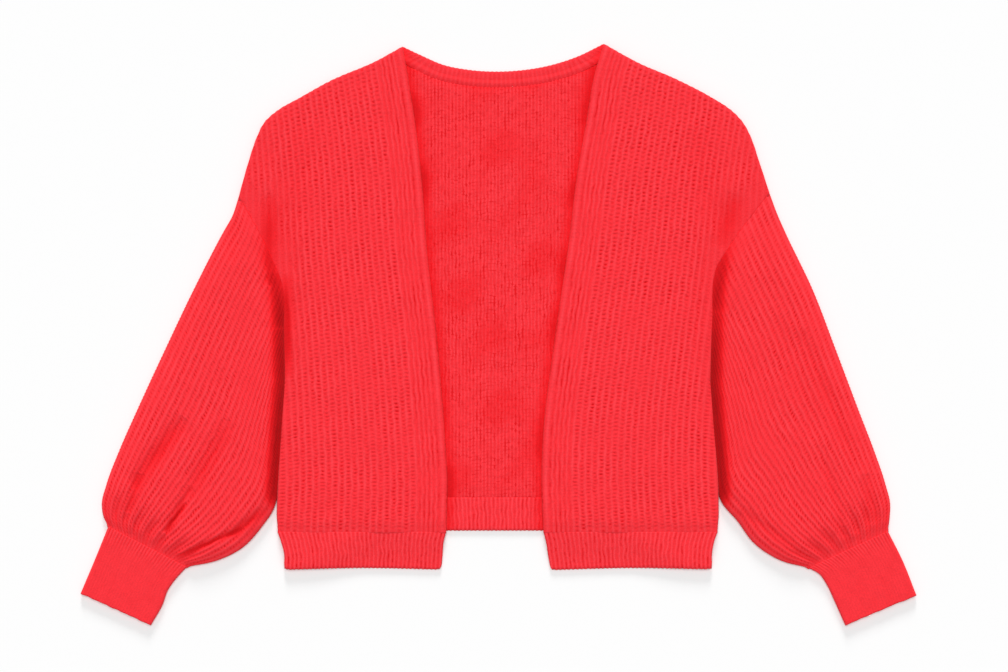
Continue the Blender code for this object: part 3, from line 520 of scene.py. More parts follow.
def tuck_rib(places, tucked, knit):
    """Height of tuck rib over its grooves, in mm.

    With r the phase in ribs, s the phase in rows and g the distance from the nearest groove in
    ribs: height = H (1 - (1 - crest(r)^0.75) (1 - 0.55 T)) (1 + 0.1 cos 2 pi (s + 0.7 g))
    - D T t exp(-(g/0.26)^2) crest(q)^2, where q is s moved on by half a row in every other groove,
    t is the tuck's own strength and T is one where there are tucks, which fill the grooves.
    """
    ribs, rows = places[..., 0], places[..., 1]
    groove = np.round(ribs)
    away = np.abs(ribs - groove)
    rib = 1.0 - (1.0 - crest(ribs) ** 0.75) * (1.0 - 0.55 * tucked)
    rib = rib * (1.0 + 0.1 * np.cos(2.0 * np.pi * (rows + 0.7 * away)))
    shifted = rows + 0.5 * (groove % 2.0) + 0.5
    strength = 0.6 + 0.7 * chance(groove, np.floor(shifted))
    tuck = tucked * strength * np.exp(-(away / GROOVE_WIDTH) ** 2) * crest(shifted) ** 2
    return knit.rib_height * rib - knit.tuck_depth * tuck


def close_rib(places, height):
    """Height of close rib over its grooves: H a crest(r) (1 + 0.12 cos 2 pi (s + 0.5 g)), in mm.

    g is the distance from the nearest groove, so that each stitch is a shallow arrow, and a, from
    0.45 to 1.15, is each rib's own.
    """
    ribs, rows = places[..., 0], places[..., 1]
    away = np.abs(ribs - np.round(ribs))
    own = 0.45 + 0.7 * chance(np.floor(ribs), 3.0)
    return height * own * crest(ribs) * (1.0 + 0.12 * np.cos(2.0 * np.pi * (rows + 0.5 * away)))


def rib_ends(places, share):
    """How far the rib ends stand out, and fall back between ribs, towards a share of one."""
    return RIB_ENDS * (crest(places[..., 0]) - 0.5) * smooth(share)


def thinned(distance, keeps, run=SEAM_RUN):
    """Share of its thickness that cloth has at a distance from a seam, where it keeps a share."""
    return keeps + (1.0 - keeps) * smooth(distance / run)


def lapped(flat, distance, towards):
    """Points near a seam moved past it, towards its other side, by up to the lap."""
    return flat + SEAM_LAP * near(distance, SEAM_RUN / 3.0)[..., None] * np.asarray(towards)


def lap_drop(distance):
    """How far the lapped end lies lower, so that it goes under its neighbour's top."""
    return LAP_DROP * near(distance, LAP_RUN)


# ---------------------------------------------------------------- meshes

def with_height(flat, height):
    """Points in space from points on the plan and their heights."""
    return np.concatenate([flat, np.broadcast_to(height, flat.shape[:-1])[..., None]], axis=-1)


def grid_faces(numbers):
    """Four-sided faces between the neighbouring places of a grid."""
    corners = (numbers[:-1, :-1], numbers[:-1, 1:], numbers[1:, 1:], numbers[1:, :-1])
    return np.stack(corners, axis=-1).reshape(-1, 4)


def bridge_faces(first, second, first_at, second_at, flip):
    """Triangles between two runs of places that start and end together.

    Each step of either run makes one triangle, with its third corner where the other run has got
    to when the middles of all steps are taken in order.
    """
    first_middle = (first_at[1:] + first_at[:-1]) / 2.0
    second_middle = (second_at[1:] + second_at[:-1]) / 2.0
    reached = np.searchsorted(second_middle, first_middle, side="left")
    over = np.stack([first[1:], first[:-1], second[reached]], axis=-1)
    reached = np.searchsorted(first_middle, second_middle, side="right")
    under = np.stack([first[reached], second[:-1], second[1:]], axis=-1)
    faces = np.concatenate([over, under])
    return faces[:, ::-1] if flip else faces


def turned_out(points, faces):
    """The faces, turned over if the volume they enclose, the sum of a . (b x c) / 6, is negative."""
    volume = 0.0
    for group in faces:
        for last in range(2, group.shape[1]):
            a, b, c = points[group[:, 0]], points[group[:, last - 1]], points[group[:, last]]
            volume += np.einsum("ij,ij->", a, np.cross(b, c))
    return faces if volume > 0.0 else [group[:, ::-1] for group in faces]


def add_object(name, data):
    """A new object in the scene."""
    made = bpy.data.objects.new(name, data)
    bpy.context.scene.collection.objects.link(made)
    return made


def knit_piece(name, points, places, shades, faces, owner, material):
    """One closed wall of wool as an object.

    places holds each point's phase in ribs and rows, which becomes the UV map, and shades how much
    shade is painted on it (in creases, folds and beside the opening, with the back's random mottle)
    and how far its stitches are felted away, each from 0 to 1. owner gives, for each place, the
    first at the same point.
    """
    faces = turned_out(points, faces)
    corners = np.concatenate([group.ravel() for group in faces])
    used, vertex = np.unique(owner[corners], return_inverse=True)
    sizes = np.concatenate([np.full(len(group), group.shape[1]) for group in faces])
    mesh = bpy.data.meshes.new(name)
    mesh.vertices.add(len(used))
    mesh.vertices.foreach_set("co", (points[used] * MM).astype(np.float32).ravel())
    mesh.loops.add(len(corners))
    mesh.loops.foreach_set("vertex_index", vertex.astype(np.int32).ravel())
    mesh.polygons.add(len(sizes))
    mesh.polygons.foreach_set("loop_start", (np.cumsum(sizes) - sizes).astype(np.int32))
    mesh.update(calc_edges=True)
    layer = mesh.uv_layers.new(name="Knit")
    layer.data.foreach_set("uv", places[corners].astype(np.float32).ravel())
    for attribute, shade in zip(("Crease", "Worn"), shades):
        values = np.clip(shade[used], 0.0, 1.0).astype(np.float32)
        mesh.attributes.new(attribute, "FLOAT", "POINT").data.foreach_set("value", values)
    mesh.shade_smooth()
    mesh.materials.append(material)
    return add_object(name, mesh)


def wall(name, material, outer, places, inner, inner_places, across, up=None, shade_and_mottle=0.0, worn=0.0):
    """A closed wall between an outer and an inner grid.

    across holds the shares of the outer columns, and of the inner ones at the first row and at the
    last. up holds the shares of the rows. A tube has none, and its last column is its first again.
    """
    outside = np.arange(outer[..., 0].size).reshape(outer.shape[:2])
    inside = outside.size + np.arange(inner[..., 0].size).reshape(inner.shape[:2])
    owner = np.arange(outside.size + inside.size)
    faces = [grid_faces(outside), grid_faces(inside)[:, ::-1]]
    for edge, inner_at, flip in ((0, across[1], False), (-1, across[2], True)):
        faces.append(bridge_faces(outside[edge], inside[edge], across[0], inner_at, flip))
        if up:
            faces.append(bridge_faces(outside[:, edge], inside[:, edge], *up, not flip))
    if not up:
        for ring in (outside, inside):
            owner[ring[:, -1]] = ring[:, 0]
    points = np.concatenate([outer.reshape(-1, 3), inner.reshape(-1, 3)])
    places = np.concatenate([places.reshape(-1, 2), inner_places.reshape(-1, 2)])
    shades = [np.concatenate([np.broadcast_to(shade, outside.shape).ravel(), np.zeros(inside.size)])
              for shade in (shade_and_mottle, worn)]
    return knit_piece(name, points, places, shades, faces, owner, material)


def ringed(top, bottom):
    """A grid that goes over a pressed tube's top, back under it and to its first column again."""
    return np.concatenate([top, bottom[:, ::-1], top[:, :1]], axis=1)


def ring_shares(top_at, bottom_at):
    """Shares round a pressed tube: 0 to 1 over its top, then 1 to 2 back under it, and closed."""
    return np.concatenate([top_at, 2.0 - bottom_at[::-1], [2.0 + top_at[0]]])


def tube(name, material, flat_grid, rows, ribs, pitch, across, edge, bend, top, places, shade_and_mottle, worn,
         worn_under, inside, ceiling, floor):
    """A pressed tube, open at both ends, from its top and its hollow.

    Its underside lies flat and turns up over a width bend to the height edge at its sides. The
    hollow is between the heights floor and ceiling over the grid of shares inside.
    """
    near = UNDER_EDGE / ribs
    bottom_at = np.unique(np.concatenate([even(ribs + 1)[1:-1], [near, 3 * near, 1 - 3 * near, 1 - near]]))
    u, v = np.meshgrid(bottom_at, rows)
    flat = flat_grid(u, v)
    bottom = with_height(flat, edge * (1.0 - quarter_round(from_sides(u, across), bend)))
    counted = np.sign(places[-1, 0, 1]) * distance_up(flat) / pitch
    outer_places = ringed(places, paired(places[0, 0, 0] + (2.0 - u) * ribs, counted))
    outer_places[:, -1, 0] = places[0, 0, 0] + 2.0 * ribs
    shade_and_mottle, worn = (ringed(shade, np.full(u.shape, under))
                     for shade, under in ((shade_and_mottle, 0.0), (worn, worn_under)))

    flat = flat_grid(*inside)
    inner = ringed(with_height(flat, ceiling), with_height(flat, floor))
    inner_places = paired(np.linspace(0, 2 * ribs, inner.shape[1]), distance_up(inner[..., :2]) / pitch)
    ends = [ring_shares(inside[0][row], inside[0][row]) for row in (0, -1)]
    return wall(name, material, ringed(top, bottom), outer_places, inner, inner_places,
                (ring_shares(even(top.shape[1]), bottom_at), *ends), None, shade_and_mottle, worn)


# ---------------------------------------------------------------- seams

def body_side_run(side):
    """The side seam and then the armhole, from the hem seam up to the top of the sleeve."""
    return np.concatenate([smooth_run(side.side_seam), smooth_run(side.armhole)[-2::-1]])


def beside_opening(flat):
    """One at the edge of a front, in the opening, and zero from OPENING_FADE away from it."""
    nearness = np.zeros(flat.shape[:2])
    for side in (RIGHT, LEFT):
        edge = np.concatenate([smooth_run(side.hem_edge)[::-1], smooth_run(side.front_edge)])
        aside = np.abs(flat[..., 0] - x_of(edge, flat[..., 1]))
        nearness = np.maximum(nearness, near(aside, OPENING_FADE))
    return nearness


def neck_end_share(side):
    """Share of a shoulder's width that the end of the neckband takes."""
    return 0.85 * BAND_HEIGHT / abs(side.shoulder[-1][0] - side.shoulder[0][0])


def neck_seam_run(count=241):
    """The seam under the neckband, from one shoulder seam to the other."""
    ends = [spaced_in_x(side.shoulder, neck_end_share(side)) for side in (RIGHT, LEFT)]
    lowered = moved_aside(along(smooth_run(NECK_TOP), even(count)), -BAND_HEIGHT)
    blend = np.clip(np.abs(np.linspace(-1.0, 1.0, count)) * 3.0 - 2.0, 0.0, 1.0)[:, None]
    ends = np.where(np.arange(count)[:, None] * 2 < count, *ends)
    return lowered * (1.0 - blend) + ends * blend


def back_lift(x):
    """How much of its lift the foot of the back has at a distance from the middle."""
    return near(np.abs(x) - LIFT_FLAT, LIFT_END - LIFT_FLAT)


def back_seam_y(x):
    """Height on the plan of the seam between the back panel and its hem."""
    return HEM_SEAM_Y + BACK_SEAM_LIFT * back_lift(x)


def back_foot_y(x):
    """Height on the plan of the foot of the back hem."""
    return HEM_FOOT_Y + BACK_FOOT_LIFT * back_lift(x)


def back_top_y(x):
    """Height on the plan of the top of the back: shoulders and neck seam."""
    shoulders = [spaced_in_x(side.shoulder, np.linspace(1.0, neck_end_share(side), 200))
                 for side in (RIGHT, LEFT)]
    run = np.concatenate([shoulders[0], neck_seam_run()[1:-1], shoulders[1][::-1]])
    return np.interp(x, run[:, 0], run[:, 1])


# ---------------------------------------------------------------- pieces

def back_panel(knit, material):
    """Flat wall from hem seam to shoulders, its plain side up, with fine straight ribs.

    The middle, which the opening shows, has upright columns. The two sides, which the fronts
    hide, are coarse patches out to the side seams and armholes.
    """
    def upright(x, v):
        low, high = back_seam_y(x), back_top_y(x)
        return paired(x, low + (high - low) * v)

    def grid(middle_count, side_count, rows):
        parts = [upright(*np.meshgrid(np.linspace(-OPENING_HALF, OPENING_HALF, middle_count), rows))]
        sides = even(side_count + 1)
        for side, edge in ((RIGHT, -OPENING_HALF), (LEFT, OPENING_HALF)):
            part = patch(over_x(side.side_seam[0][0], edge, back_seam_y),
                         over_x(side.shoulder[-1][0], edge, back_top_y), on(body_side_run(side)),
                         lambda share: upright(edge + 0.0 * share, share), *np.meshgrid(sides[:-1], rows))
            parts.append(part if side is RIGHT else part[:, ::-1])
        flat = np.concatenate([parts[1], parts[0], parts[2]], axis=1)
        columns = np.concatenate([sides[:-1], 1.0 + even(middle_count), 2.0 + sides[1:]])
        return columns, flat, paired(flat[..., 0] / knit.back_pitch, distance_up(flat) / knit.row_pitch)

    rows, rest_rows = map(even, BACK_ROWS)
    fine = round(2.0 * OPENING_HALF / knit.back_pitch) * POINTS_PER_FINE_RIB
    columns, flat, places = grid(fine + 1, 16, rows)
    up = distance_up(flat)
    to_neck, to_hidden = up[-1] - up, OPENING_HALF - np.abs(flat[..., 0])
    shown = smooth(to_hidden / 4.0)
    rib_number = np.floor(places[..., 0])
    stepped = places[..., 1] + chance(rib_number, 7.0)
    bump = chance(rib_number, np.floor(stepped)) * crest(stepped)
    standing = knit.back_rib_height * crest(places[..., 0]) * (0.5 + 0.9 * bump) * shown
    dip = thinned(up, BACK_FOOT_KEEPS) * thinned(to_neck, NECK_KEEPS, SEAM_DIP)
    height = SEAM_WALL + (BACK_WALL - SEAM_WALL + standing) * dip - lap_drop(up) - lap_drop(to_neck)
    at_neck = near(to_neck, NECK_LAP_RUN)
    # painted shade beside the fronts' edges and just under the neckband, plus a slow random mottle in the
    # wool's own tone
    mottled = 0.22 * smooth(0.2 + unevenness(flat, *BACK_MOTTLE))
    shade_and_mottle = OPENING_SHADE * beside_opening(flat) + (0.2 * at_neck + mottled) * shown
    worn = 0.3 * smooth(0.4 + unevenness(flat, *BACK_WEAR))
    under_neck = smooth((NECK_HALF - np.abs(flat[..., 0])) / 10.0)
    keep = np.sin(np.pi * rows)[:, None] * smooth(to_hidden / BACK_STILL)
    flat = lapped(hand_knit(flat, keep), up, (0.0, -1.0))
    flat[..., 1] += SEAM_LAP * at_neck * under_neck
    under, lower, lower_places = grid(13, 6, rest_rows)
    return wall("back", material, with_height(flat, height), places, with_height(lower, 0.0), lower_places,
                (columns, under, under), (rows, rest_rows), shade_and_mottle, worn)


def back_hem(knit, material):
    """Rib band under the back panel, ribbed on the side that shows and flat where it rests."""
    def grid(shares, rows):
        u, v = np.meshgrid(shares, rows)
        right, left = (along(smooth_run(side.hem_side), v)[..., 0] for side in (RIGHT, LEFT))
        x = right + (left - right) * u
        head = back_seam_y(x) - SEAM_GAP
        return paired(x, head + (back_foot_y(x) - head) * v)

    rows, rest_rows = map(even, BACK_HEM_ROWS)
    columns, under = across_ribs(BACK_HEM_RIBS), even(53)
    flat, lower = grid(columns, rows), grid(under, rest_rows)
    down = distance_up(flat)
    # painted shade beside the fronts' edges
    shade_and_mottle = OPENING_SHADE * beside_opening(flat)
    places = paired(columns * BACK_HEM_RIBS, down / knit.row_pitch)
    ribs = close_rib(places, knit.band_rib_height) * thinned(down, SEAM_RIBS, RIB_FADE)
    height = FOOT_WALL + (BAND_WALL - FOOT_WALL + ribs) * quarter_round(down[-1] - down, HEM_ROUND)
    flat = hand_knit(flat, BAND_WOBBLE * np.sin(np.pi * rows)[:, None] * domed(columns))
    flat[..., 1] -= rib_ends(places, rows[:, None] * 4.0 - 3.0)
    return wall("back_hem_band", material, with_height(flat, height), places, with_height(lower, 0.0),
                paired(under * BACK_HEM_RIBS, rest_rows[:, None] * 10.0), (columns, under, under),
                (rows, rest_rows), shade_and_mottle)


def back_neckband(knit, material):
    """Rib band along the back neck, with a linked ridge over its seam."""
    seam = neck_seam_run() + [0.0, 2.0 * SEAM_GAP]
    at = even(len(seam))
    edge = along(smooth_run(NECK_TOP), at)
    table = np.array(NECKBAND_ROWS)

    def grid(shares, rows):
        low, high = looked_up(shares, at, seam), looked_up(shares, at, edge)
        return low + (high - low) * rows[:, None, None]

    rows, rest_rows = map(even, NECK_ROWS)
    columns, under = across_ribs(NECK_RIBS), even(49)
    flat, lower = grid(columns, rows), grid(under, rest_rows)
    # the table's last column is shade painted along the rows, under the linked ridge and at the seam; more
    # is painted beside the fronts' edges
    thick, share, dark = (np.interp(rows, table[:, 0], column)[:, None] for column in table.T[1:])
    places = paired(columns * NECK_RIBS, rows[:, None] * BAND_HEIGHT / knit.row_pitch)
    ribs = close_rib(places, knit.band_rib_height)
    flat[..., 1] += rib_ends(places, rows[:, None] * 5.0 - 4.0)
    return wall("back_neck_rib", material, with_height(flat, thick + ribs * share), places,
                with_height(lower, 0.0), paired(under * NECK_RIBS, rest_rows[:, None] * 4.0),
                (columns, under, under), (rows, rest_rows), dark + 0.3 * beside_opening(flat),
                NECKBAND_WORN)


def front_panel(side, knit, material):
    """Tuck-rib wall over the back, with a plain strip along the opening."""
    outer_run, edge_run = body_side_run(side), smooth_run(side.front_edge)
    foot = over_x(side.front_edge[0][0], side.side_seam[0][0], lambda x: HEM_SEAM_Y)

    def grid(ribs, rows):
        flat = patch(foot, lambda share: spaced_in_x(side.shoulder, share), on(edge_run), on(outer_run),
                     *np.meshgrid(even(PATCH_COLUMNS), rows))
        flat = evened(flat, lambda width: np.where(
            ribs < 0.0, EDGE_STRIP * (1.0 + ribs),
            EDGE_STRIP + (width - EDGE_STRIP) * np.maximum(ribs, 0.0) / FRONT_RIBS), axes=(0,))
        u, v = np.meshgrid((ribs + 1.0) / (FRONT_RIBS + 1.0), rows)
        return flat, FRONT_REST + FRONT_SWELL * domed(u, v)

    def from_opening(flat):
        """Level distance of each point from the front edge, to which the ribs run alongside."""
        return np.abs(flat[..., 0] - x_of(edge_run, flat[..., 1]))

    def knitted(flat):
        """Phases in ribs and rows: -1 to 0 over the strip, then narrow plain ribs, then tucked ones."""
        past_strip = from_opening(flat) - EDGE_STRIP
        past_plain = np.maximum(past_strip - PLAIN_RIBS * PLAIN_PITCH, 0.0)
        ribs = np.where(past_strip < 0.0, past_strip / EDGE_STRIP,
                        np.minimum(past_strip / PLAIN_PITCH, PLAIN_RIBS)
                        + past_plain / (FRONT_PITCH - FRONT_SPREAD * flat[..., 1]))
        stretch = np.log(1.0 + ROW_SPREAD * np.maximum(flat[..., 1] - HEM_SEAM_Y, 0.0))
        return paired(ribs, stretch / (ROW_SPREAD * knit.row_pitch))

    rows, rest_rows = map(even, FRONT_ROWS)
    columns = np.concatenate([STRIP_POINTS, FRONT_RIBS * across_ribs(FRONT_RIBS)])
    flat, rest = grid(columns, rows)
    width, up, from_edge = np.abs(flat[:, -1:, 0] - flat[:, :1, 0]), distance_up(flat), from_opening(flat)
    to_shoulder = up[-1] - up
    places = knitted(flat)
    ribs = places[..., 0]
    from_side = (width - EDGE_STRIP) * (1.0 - np.maximum(columns, 0.0) / FRONT_RIBS)
    rolled = knit.rib_height * (0.8 + 0.1 * np.cos(2.0 * np.pi * places[..., 1]))
    rolled *= np.sqrt(np.sin(np.pi * np.clip(ribs + 1.0, 0.0, 1.0)))
    tucked = smooth((ribs - PLAIN_RIBS + 0.5) / 1.5)
    standing = np.where(ribs < 0.0, rolled, tuck_rib(places, tucked, knit))
    beside_sleeve = smooth((flat[:, -1:, 1] - CREASED_BELOW) / CREASED_RUN)
    standing *= thinned(up, SEAM_RIBS, RIB_FADE)
    standing *= 1.0 - 0.5 * near(from_side, RIB_FADE) * beside_sleeve
    side_height = quarter_round(from_side, BODY_ROUND)
    side_height += (thinned(from_side, SEAM_KEEPS) - side_height) * beside_sleeve
    rounding = (side_height * quarter_round(to_shoulder, BODY_ROUND)
                * quarter_round(from_edge, HEM_ROUND) * thinned(up, FOOT_KEEPS))
    soft = SOFT_LIFT * unevenness(flat, *FRONT_SOFT) - folded(flat, side.front_folds)
    height = rest + SEAM_WALL + (WALL - SEAM_WALL + standing + soft) * rounding
    height -= lap_drop(up) + lap_drop(from_side) * beside_sleeve
    inward = (from_edge, from_side, up, to_shoulder)
    keep = np.prod([smooth(distance / EDGE_STILL) for distance in inward], axis=0)
    # painted shade along the folds
    shade_and_mottle = folded(flat, side.front_folds, "shade")
    worn = np.maximum(felted(flat, side.front_folds), SIDE_WORN * near(from_side - 4.0, 10.0))
    flat = lapped(hand_knit(flat, keep), up, (0.0, -1.0))
    flat[..., 1] += rib_ends(places, 1.0 - to_shoulder / 5.0)
    outward = np.sign(side.side_seam[0][0]) * (BODY_BULGE + (SEAM_LAP - BODY_BULGE) * beside_sleeve)
    flat[..., 0] += outward * near(from_side, 10.0) * smooth(up / 20.0) * smooth(to_shoulder / 3.0)
    under = np.concatenate([[-1.0], FRONT_RIBS * even(14)])
    lower, lower_rest = grid(under, rest_rows)
    return wall("front_" + side.name + "_knit", material, with_height(flat, height), places,
                with_height(lower, lower_rest), knitted(lower), (columns, under, under),
                (rows, rest_rows), shade_and_mottle, worn)


def front_hem(side, knit, material):
    """Rib band under a front, lying on the back hem and sagging to the floor past its foot."""
    edge_run, side_run = smooth_run(side.hem_edge), smooth_run(side.hem_side)
    head = over_x(side.hem_edge[0][0], side.hem_side[0][0], lambda x: HEM_SEAM_Y)

    def grid(shares, rows):
        u, v = np.meshgrid(shares, rows)
        flat = patch(head, lambda share: spaced_in_x(side.hem_foot, share), on(edge_run), on(side_run), u, v)
        flat[..., 1] -= SEAM_GAP * (1.0 - v)
        past_foot = back_foot_y(flat[..., 0]) - flat[..., 1] - SAG_START
        corner = 1.0 - quarter_round(from_sides(u, row_widths(flat)), HEM_CORNER)
        flat[..., 1] += HEM_CORNER * corner * v ** 3
        return flat, FRONT_REST * near(past_foot, SAG_RUN), u, v

    rows, rest_rows = map(even, FRONT_HEM_ROWS)
    columns, under = across_ribs(FRONT_HEM_RIBS), even(20)
    flat, rest, u, v = grid(columns, rows)
    across, down = row_widths(flat), distance_up(flat)
    places = paired(u * FRONT_HEM_RIBS, -down / knit.row_pitch)
    ribs = close_rib(places, knit.band_rib_height) * thinned(down, SEAM_RIBS, RIB_FADE)
    ends = quarter_round(down[-1] - down + 0.15, HEM_ROUND)
    sides = quarter_round(u * across, HEM_ROUND) * quarter_round((1.0 - u) * across, HEM_ROUND)
    body = (BAND_WALL - SEAM_WALL + 0.6 + ribs) * sides * ends + SEAM_WALL * (0.35 + 0.65 * ends)
    flat = hand_knit(flat, BAND_WOBBLE * domed(u) * np.sin(np.pi * v))
    flat[..., 1] -= rib_ends(places, v * 5.0 - 4.0)
    lower, lower_rest, u, v = grid(under, rest_rows)
    return wall("front_hem_" + side.name + "_rib", material, with_height(flat, rest + body), places,
                with_height(lower, lower_rest), paired(u * FRONT_HEM_RIBS, -v * 10.0),
                (columns, under, under), (rows, rest_rows))


def sleeve(side, knit, material):
    """Balloon sleeve as a pressed tube, from the armhole to the gathers at the cuff."""
    turn = 1.0 if side is RIGHT else -1.0
    mouth = moved_aside(smooth_run(side.armhole), -SEAM_GAP * turn)
    outer_run, inner_run = smooth_run(side.sleeve_outer), smooth_run(side.sleeve_inner)
    outer_run += mouth[0] - outer_run[0]
    inner_run += (mouth[-1] - inner_run[0]) * (1.0 - even(len(inner_run)))[:, None]
    beside = x_of(smooth_run(side.side_seam), inner_run[:, 1]) - turn * TUCKED_BESIDE
    touching = near(side.armhole[-1][1] - TUCKED_FOR - inner_run[:, 1], TUCKED_RUN)
    inner_run[:, 0] += (beside - inner_run[:, 0]) * touching
    cuff_seam = np.stack([outer_run[-1], inner_run[-1]])

    def flat_grid(u, v):
        flat = patch(on(mouth), on(cuff_seam), on(outer_run), on(inner_run),
                     *np.meshgrid(even(PATCH_COLUMNS), v[:, 0]))
        flat = evened(flat, lambda width: width * u)
        rowed = distance_up(flat)[:, :1] / knit.row_pitch
        outward = np.sign(u - 0.5) * turn * near(from_sides(u, row_widths(flat)), 5.0)
        flat[..., 0] += ROW_ENDS * outward * np.sin(np.pi * v) * (crest(rowed) - 0.5)
        return flat

    def gathered(u, v):
        return GATHER_DEPTH * crest(u * GATHERS + 0.35 * np.sin(5.0 * u)) * smooth((v - GATHER_START) / 0.1)

    def hollow(flat, u, v, across):
        inward = smooth(from_sides(u, across) / HOLLOW_RUN)
        lift = (HOLLOW_MIDDLE - HOLLOW_SEAM) * inward
        lift *= smooth(v / HOLLOW_HEAD) * smooth((1.0 - v) / HOLLOW_FOOT)
        sunk = (folded(flat, side.folds) + gathered(u, v)) * inward
        return HOLLOW_SEAM + np.clip(lift - sunk, 0.0, HOLLOW_MIDDLE - HOLLOW_SEAM)

    rows, hollow_rows = map(even, SLEEVE_ROWS)
    u, v = np.meshgrid(across_ribs(SLEEVE_RIBS), rows)
    flat = flat_grid(u, v)
    across, up = row_widths(flat), distance_up(flat)
    to_cuff = up[-1] - up
    spacing = np.linalg.norm(np.gradient(flat, axis=1), axis=-1) * POINTS_PER_RIB
    places = paired(SLEEVE_PHASE + u * SLEEVE_RIBS, up / knit.row_pitch)
    standing = tuck_rib(places, smooth(spacing / 3.0 - 0.6), knit)
    standing *= np.clip(spacing / CROWDED, 0.0, 1.0) * thinned(up, 0.5, RIB_FADE)
    mouth_keeps = SEAM_KEEPS * smooth((flat[:1, :, 1] - CREASED_BELOW) / CREASED_RUN)
    dip = thinned(to_cuff, SLEEVE_END_KEEPS) * thinned(up, mouth_keeps)
    crown = SLEEVE_BED + hollow(flat, u, v, across) + SEAM_WALL + (WALL - SEAM_WALL + standing) * dip
    crown -= np.clip(0.5 * (folded(flat, side.folds) + gathered(u, v)), -1.5, 1.5) * dip
    crown += SOFT_LIFT * unevenness(flat, *SLEEVE_SOFT) * dip - lap_drop(to_cuff)
    beside_body = near(v - DIPS_FOR, DIPS_RUN)
    inner = (1.0 - u) * across
    slope = 1.0 - (1.0 - np.clip(inner / CREASE_SLOPE, 0.0, 1.0)) ** 2
    sloped = 0.35 * quarter_round(inner, 4.0) + 0.65 * slope
    inner_side = sloped * beside_body + quarter_round(inner, CREASE_ROUND) * (1.0 - beside_body)
    rounding = quarter_round(u * across, CREASE_ROUND) * inner_side
    # painted shade along the folds and in the gathers, and in the crease where the sleeve meets the body
    shade_and_mottle = folded(flat, side.folds, "shade") + gathered(u, v) * 0.12
    aside = np.abs(flat[..., 0] - x_of(body_side_run(side), flat[..., 1]))
    crease_shade_reach = (smooth((CREASE_TOP - flat[..., 1]) / CREASE_RUN)
               * smooth((flat[..., 1] - CREASE_FOOT) / CREASE_FOOT_RUN))
    shade_and_mottle += crease_shade_reach * near(aside - CREASE_CORE, CREASE_FADE)
    worn = np.maximum(felted(flat, side.folds), SLEEVE_END_WORN * smooth((v - 1.0) / SLEEVE_END_RUN + 1.0))
    ahead = cuff_seam.sum(axis=0) - mouth[0] - mouth[-1]
    flat = lapped(hand_knit(flat, domed(u, v)), to_cuff, ahead / np.linalg.norm(ahead))
    top = with_height(flat, SLEEVE_EDGE_LEVEL + (crown - SLEEVE_EDGE_LEVEL) * rounding)

    u, v = np.meshgrid(even(HOLLOW_COLUMNS), hollow_rows)
    hollow_across = row_widths(flat_grid(u, v))
    corners = ARMPIT_MARGIN * near(v, 0.25) + CUFF_MARGIN * smooth((v - 0.75) / 0.2)
    low, high = WALL / hollow_across, 1.0 - (WALL + corners) / hollow_across
    kept = np.clip(u, low, high)
    u = kept + (low + (high - low) * u - kept) * smooth(v / 0.3)
    ceiling = SLEEVE_BED + 0.8 * hollow(flat_grid(u, v), u, v, hollow_across)
    return tube("sleeve_" + side.name + "_knit", material, flat_grid, rows, SLEEVE_RIBS, knit.row_pitch,
                across, edge=SLEEVE_EDGE_LEVEL, bend=SLEEVE_EDGE_LEVEL, top=top, places=places,
                shade_and_mottle=shade_and_mottle, worn=worn, worn_under=0.0, inside=(u, v), ceiling=ceiling,
                floor=SLEEVE_BED)


def cuff(side, knit, material):
    """Close rib tube below the gathers, felted and pressed flat."""
    outer_run, inner_run = smooth_run(side.cuff_outer), smooth_run(side.cuff_inner)
    head, wrist = (np.stack([outer_run[end], inner_run[end]]) for end in (0, -1))
    ahead = wrist.sum(axis=0) - head.sum(axis=0)
    ahead /= np.linalg.norm(ahead)

    def flat_grid(u, v):
        flat = patch(on(head), on(wrist), on(outer_run), on(inner_run), u, v)
        return flat + SEAM_GAP * ahead * (1.0 - v)[..., None]

    rows, hollow_rows = map(even, CUFF_ROWS)
    u, v = np.meshgrid(across_ribs(CUFF_RIBS), rows)
    flat = flat_grid(u, v)
    across, down = row_widths(flat), distance_up(flat)
    places = paired(u * CUFF_RIBS, -down / knit.row_pitch)
    worn = CUFF_WORN_HEAD + (CUFF_WORN - CUFF_WORN_HEAD) * smooth((down - 3.0) / 20.0)
    ribs = close_rib(places, knit.cuff_rib_height) * (1.3 - worn)
    soft = CUFF_SOFT_LIFT * unevenness(flat, *CUFF_SOFT)
    dip = 0.4 + 0.6 * quarter_round(down[-1] - down, 3.0)
    crown = BAND_WALL + CUFF_HOLLOW + SEAM_WALL + (BAND_WALL - SEAM_WALL + ribs + soft) * dip
    rounding = quarter_round(from_sides(u, across), CUFF_ROUND)
    flat = hand_knit(flat, domed(u, v))
    uneven_end = RIB_ENDS * unevenness(flat, *CUFF_END) * smooth(rows * 6.0 - 5.0)[:, None]
    flat += uneven_end[..., None] * ahead
    top = with_height(flat, CUFF_EDGE_LEVEL + (crown - CUFF_EDGE_LEVEL) * rounding)

    u, v = np.meshgrid(even(HOLLOW_COLUMNS), hollow_rows)
    hollow_across = row_widths(flat_grid(u, v))
    u = np.clip(u, BAND_WALL / hollow_across, 1.0 - BAND_WALL / hollow_across)
    ceiling = BAND_WALL + 0.1 + 0.9 * CUFF_HOLLOW * smooth(from_sides(u, hollow_across) / 10.0)
    return tube("cuff_" + side.name + "_rib", material, flat_grid, rows, CUFF_RIBS, knit.row_pitch,
                across, edge=CUFF_EDGE_LEVEL, bend=0.8 * CUFF_EDGE_LEVEL, top=top, places=places,
                shade_and_mottle=0.0 * worn, worn=worn, worn_under=CUFF_WORN, inside=(u, v), ceiling=ceiling,
                floor=BAND_WALL)


# ---------------------------------------------------------------- materials

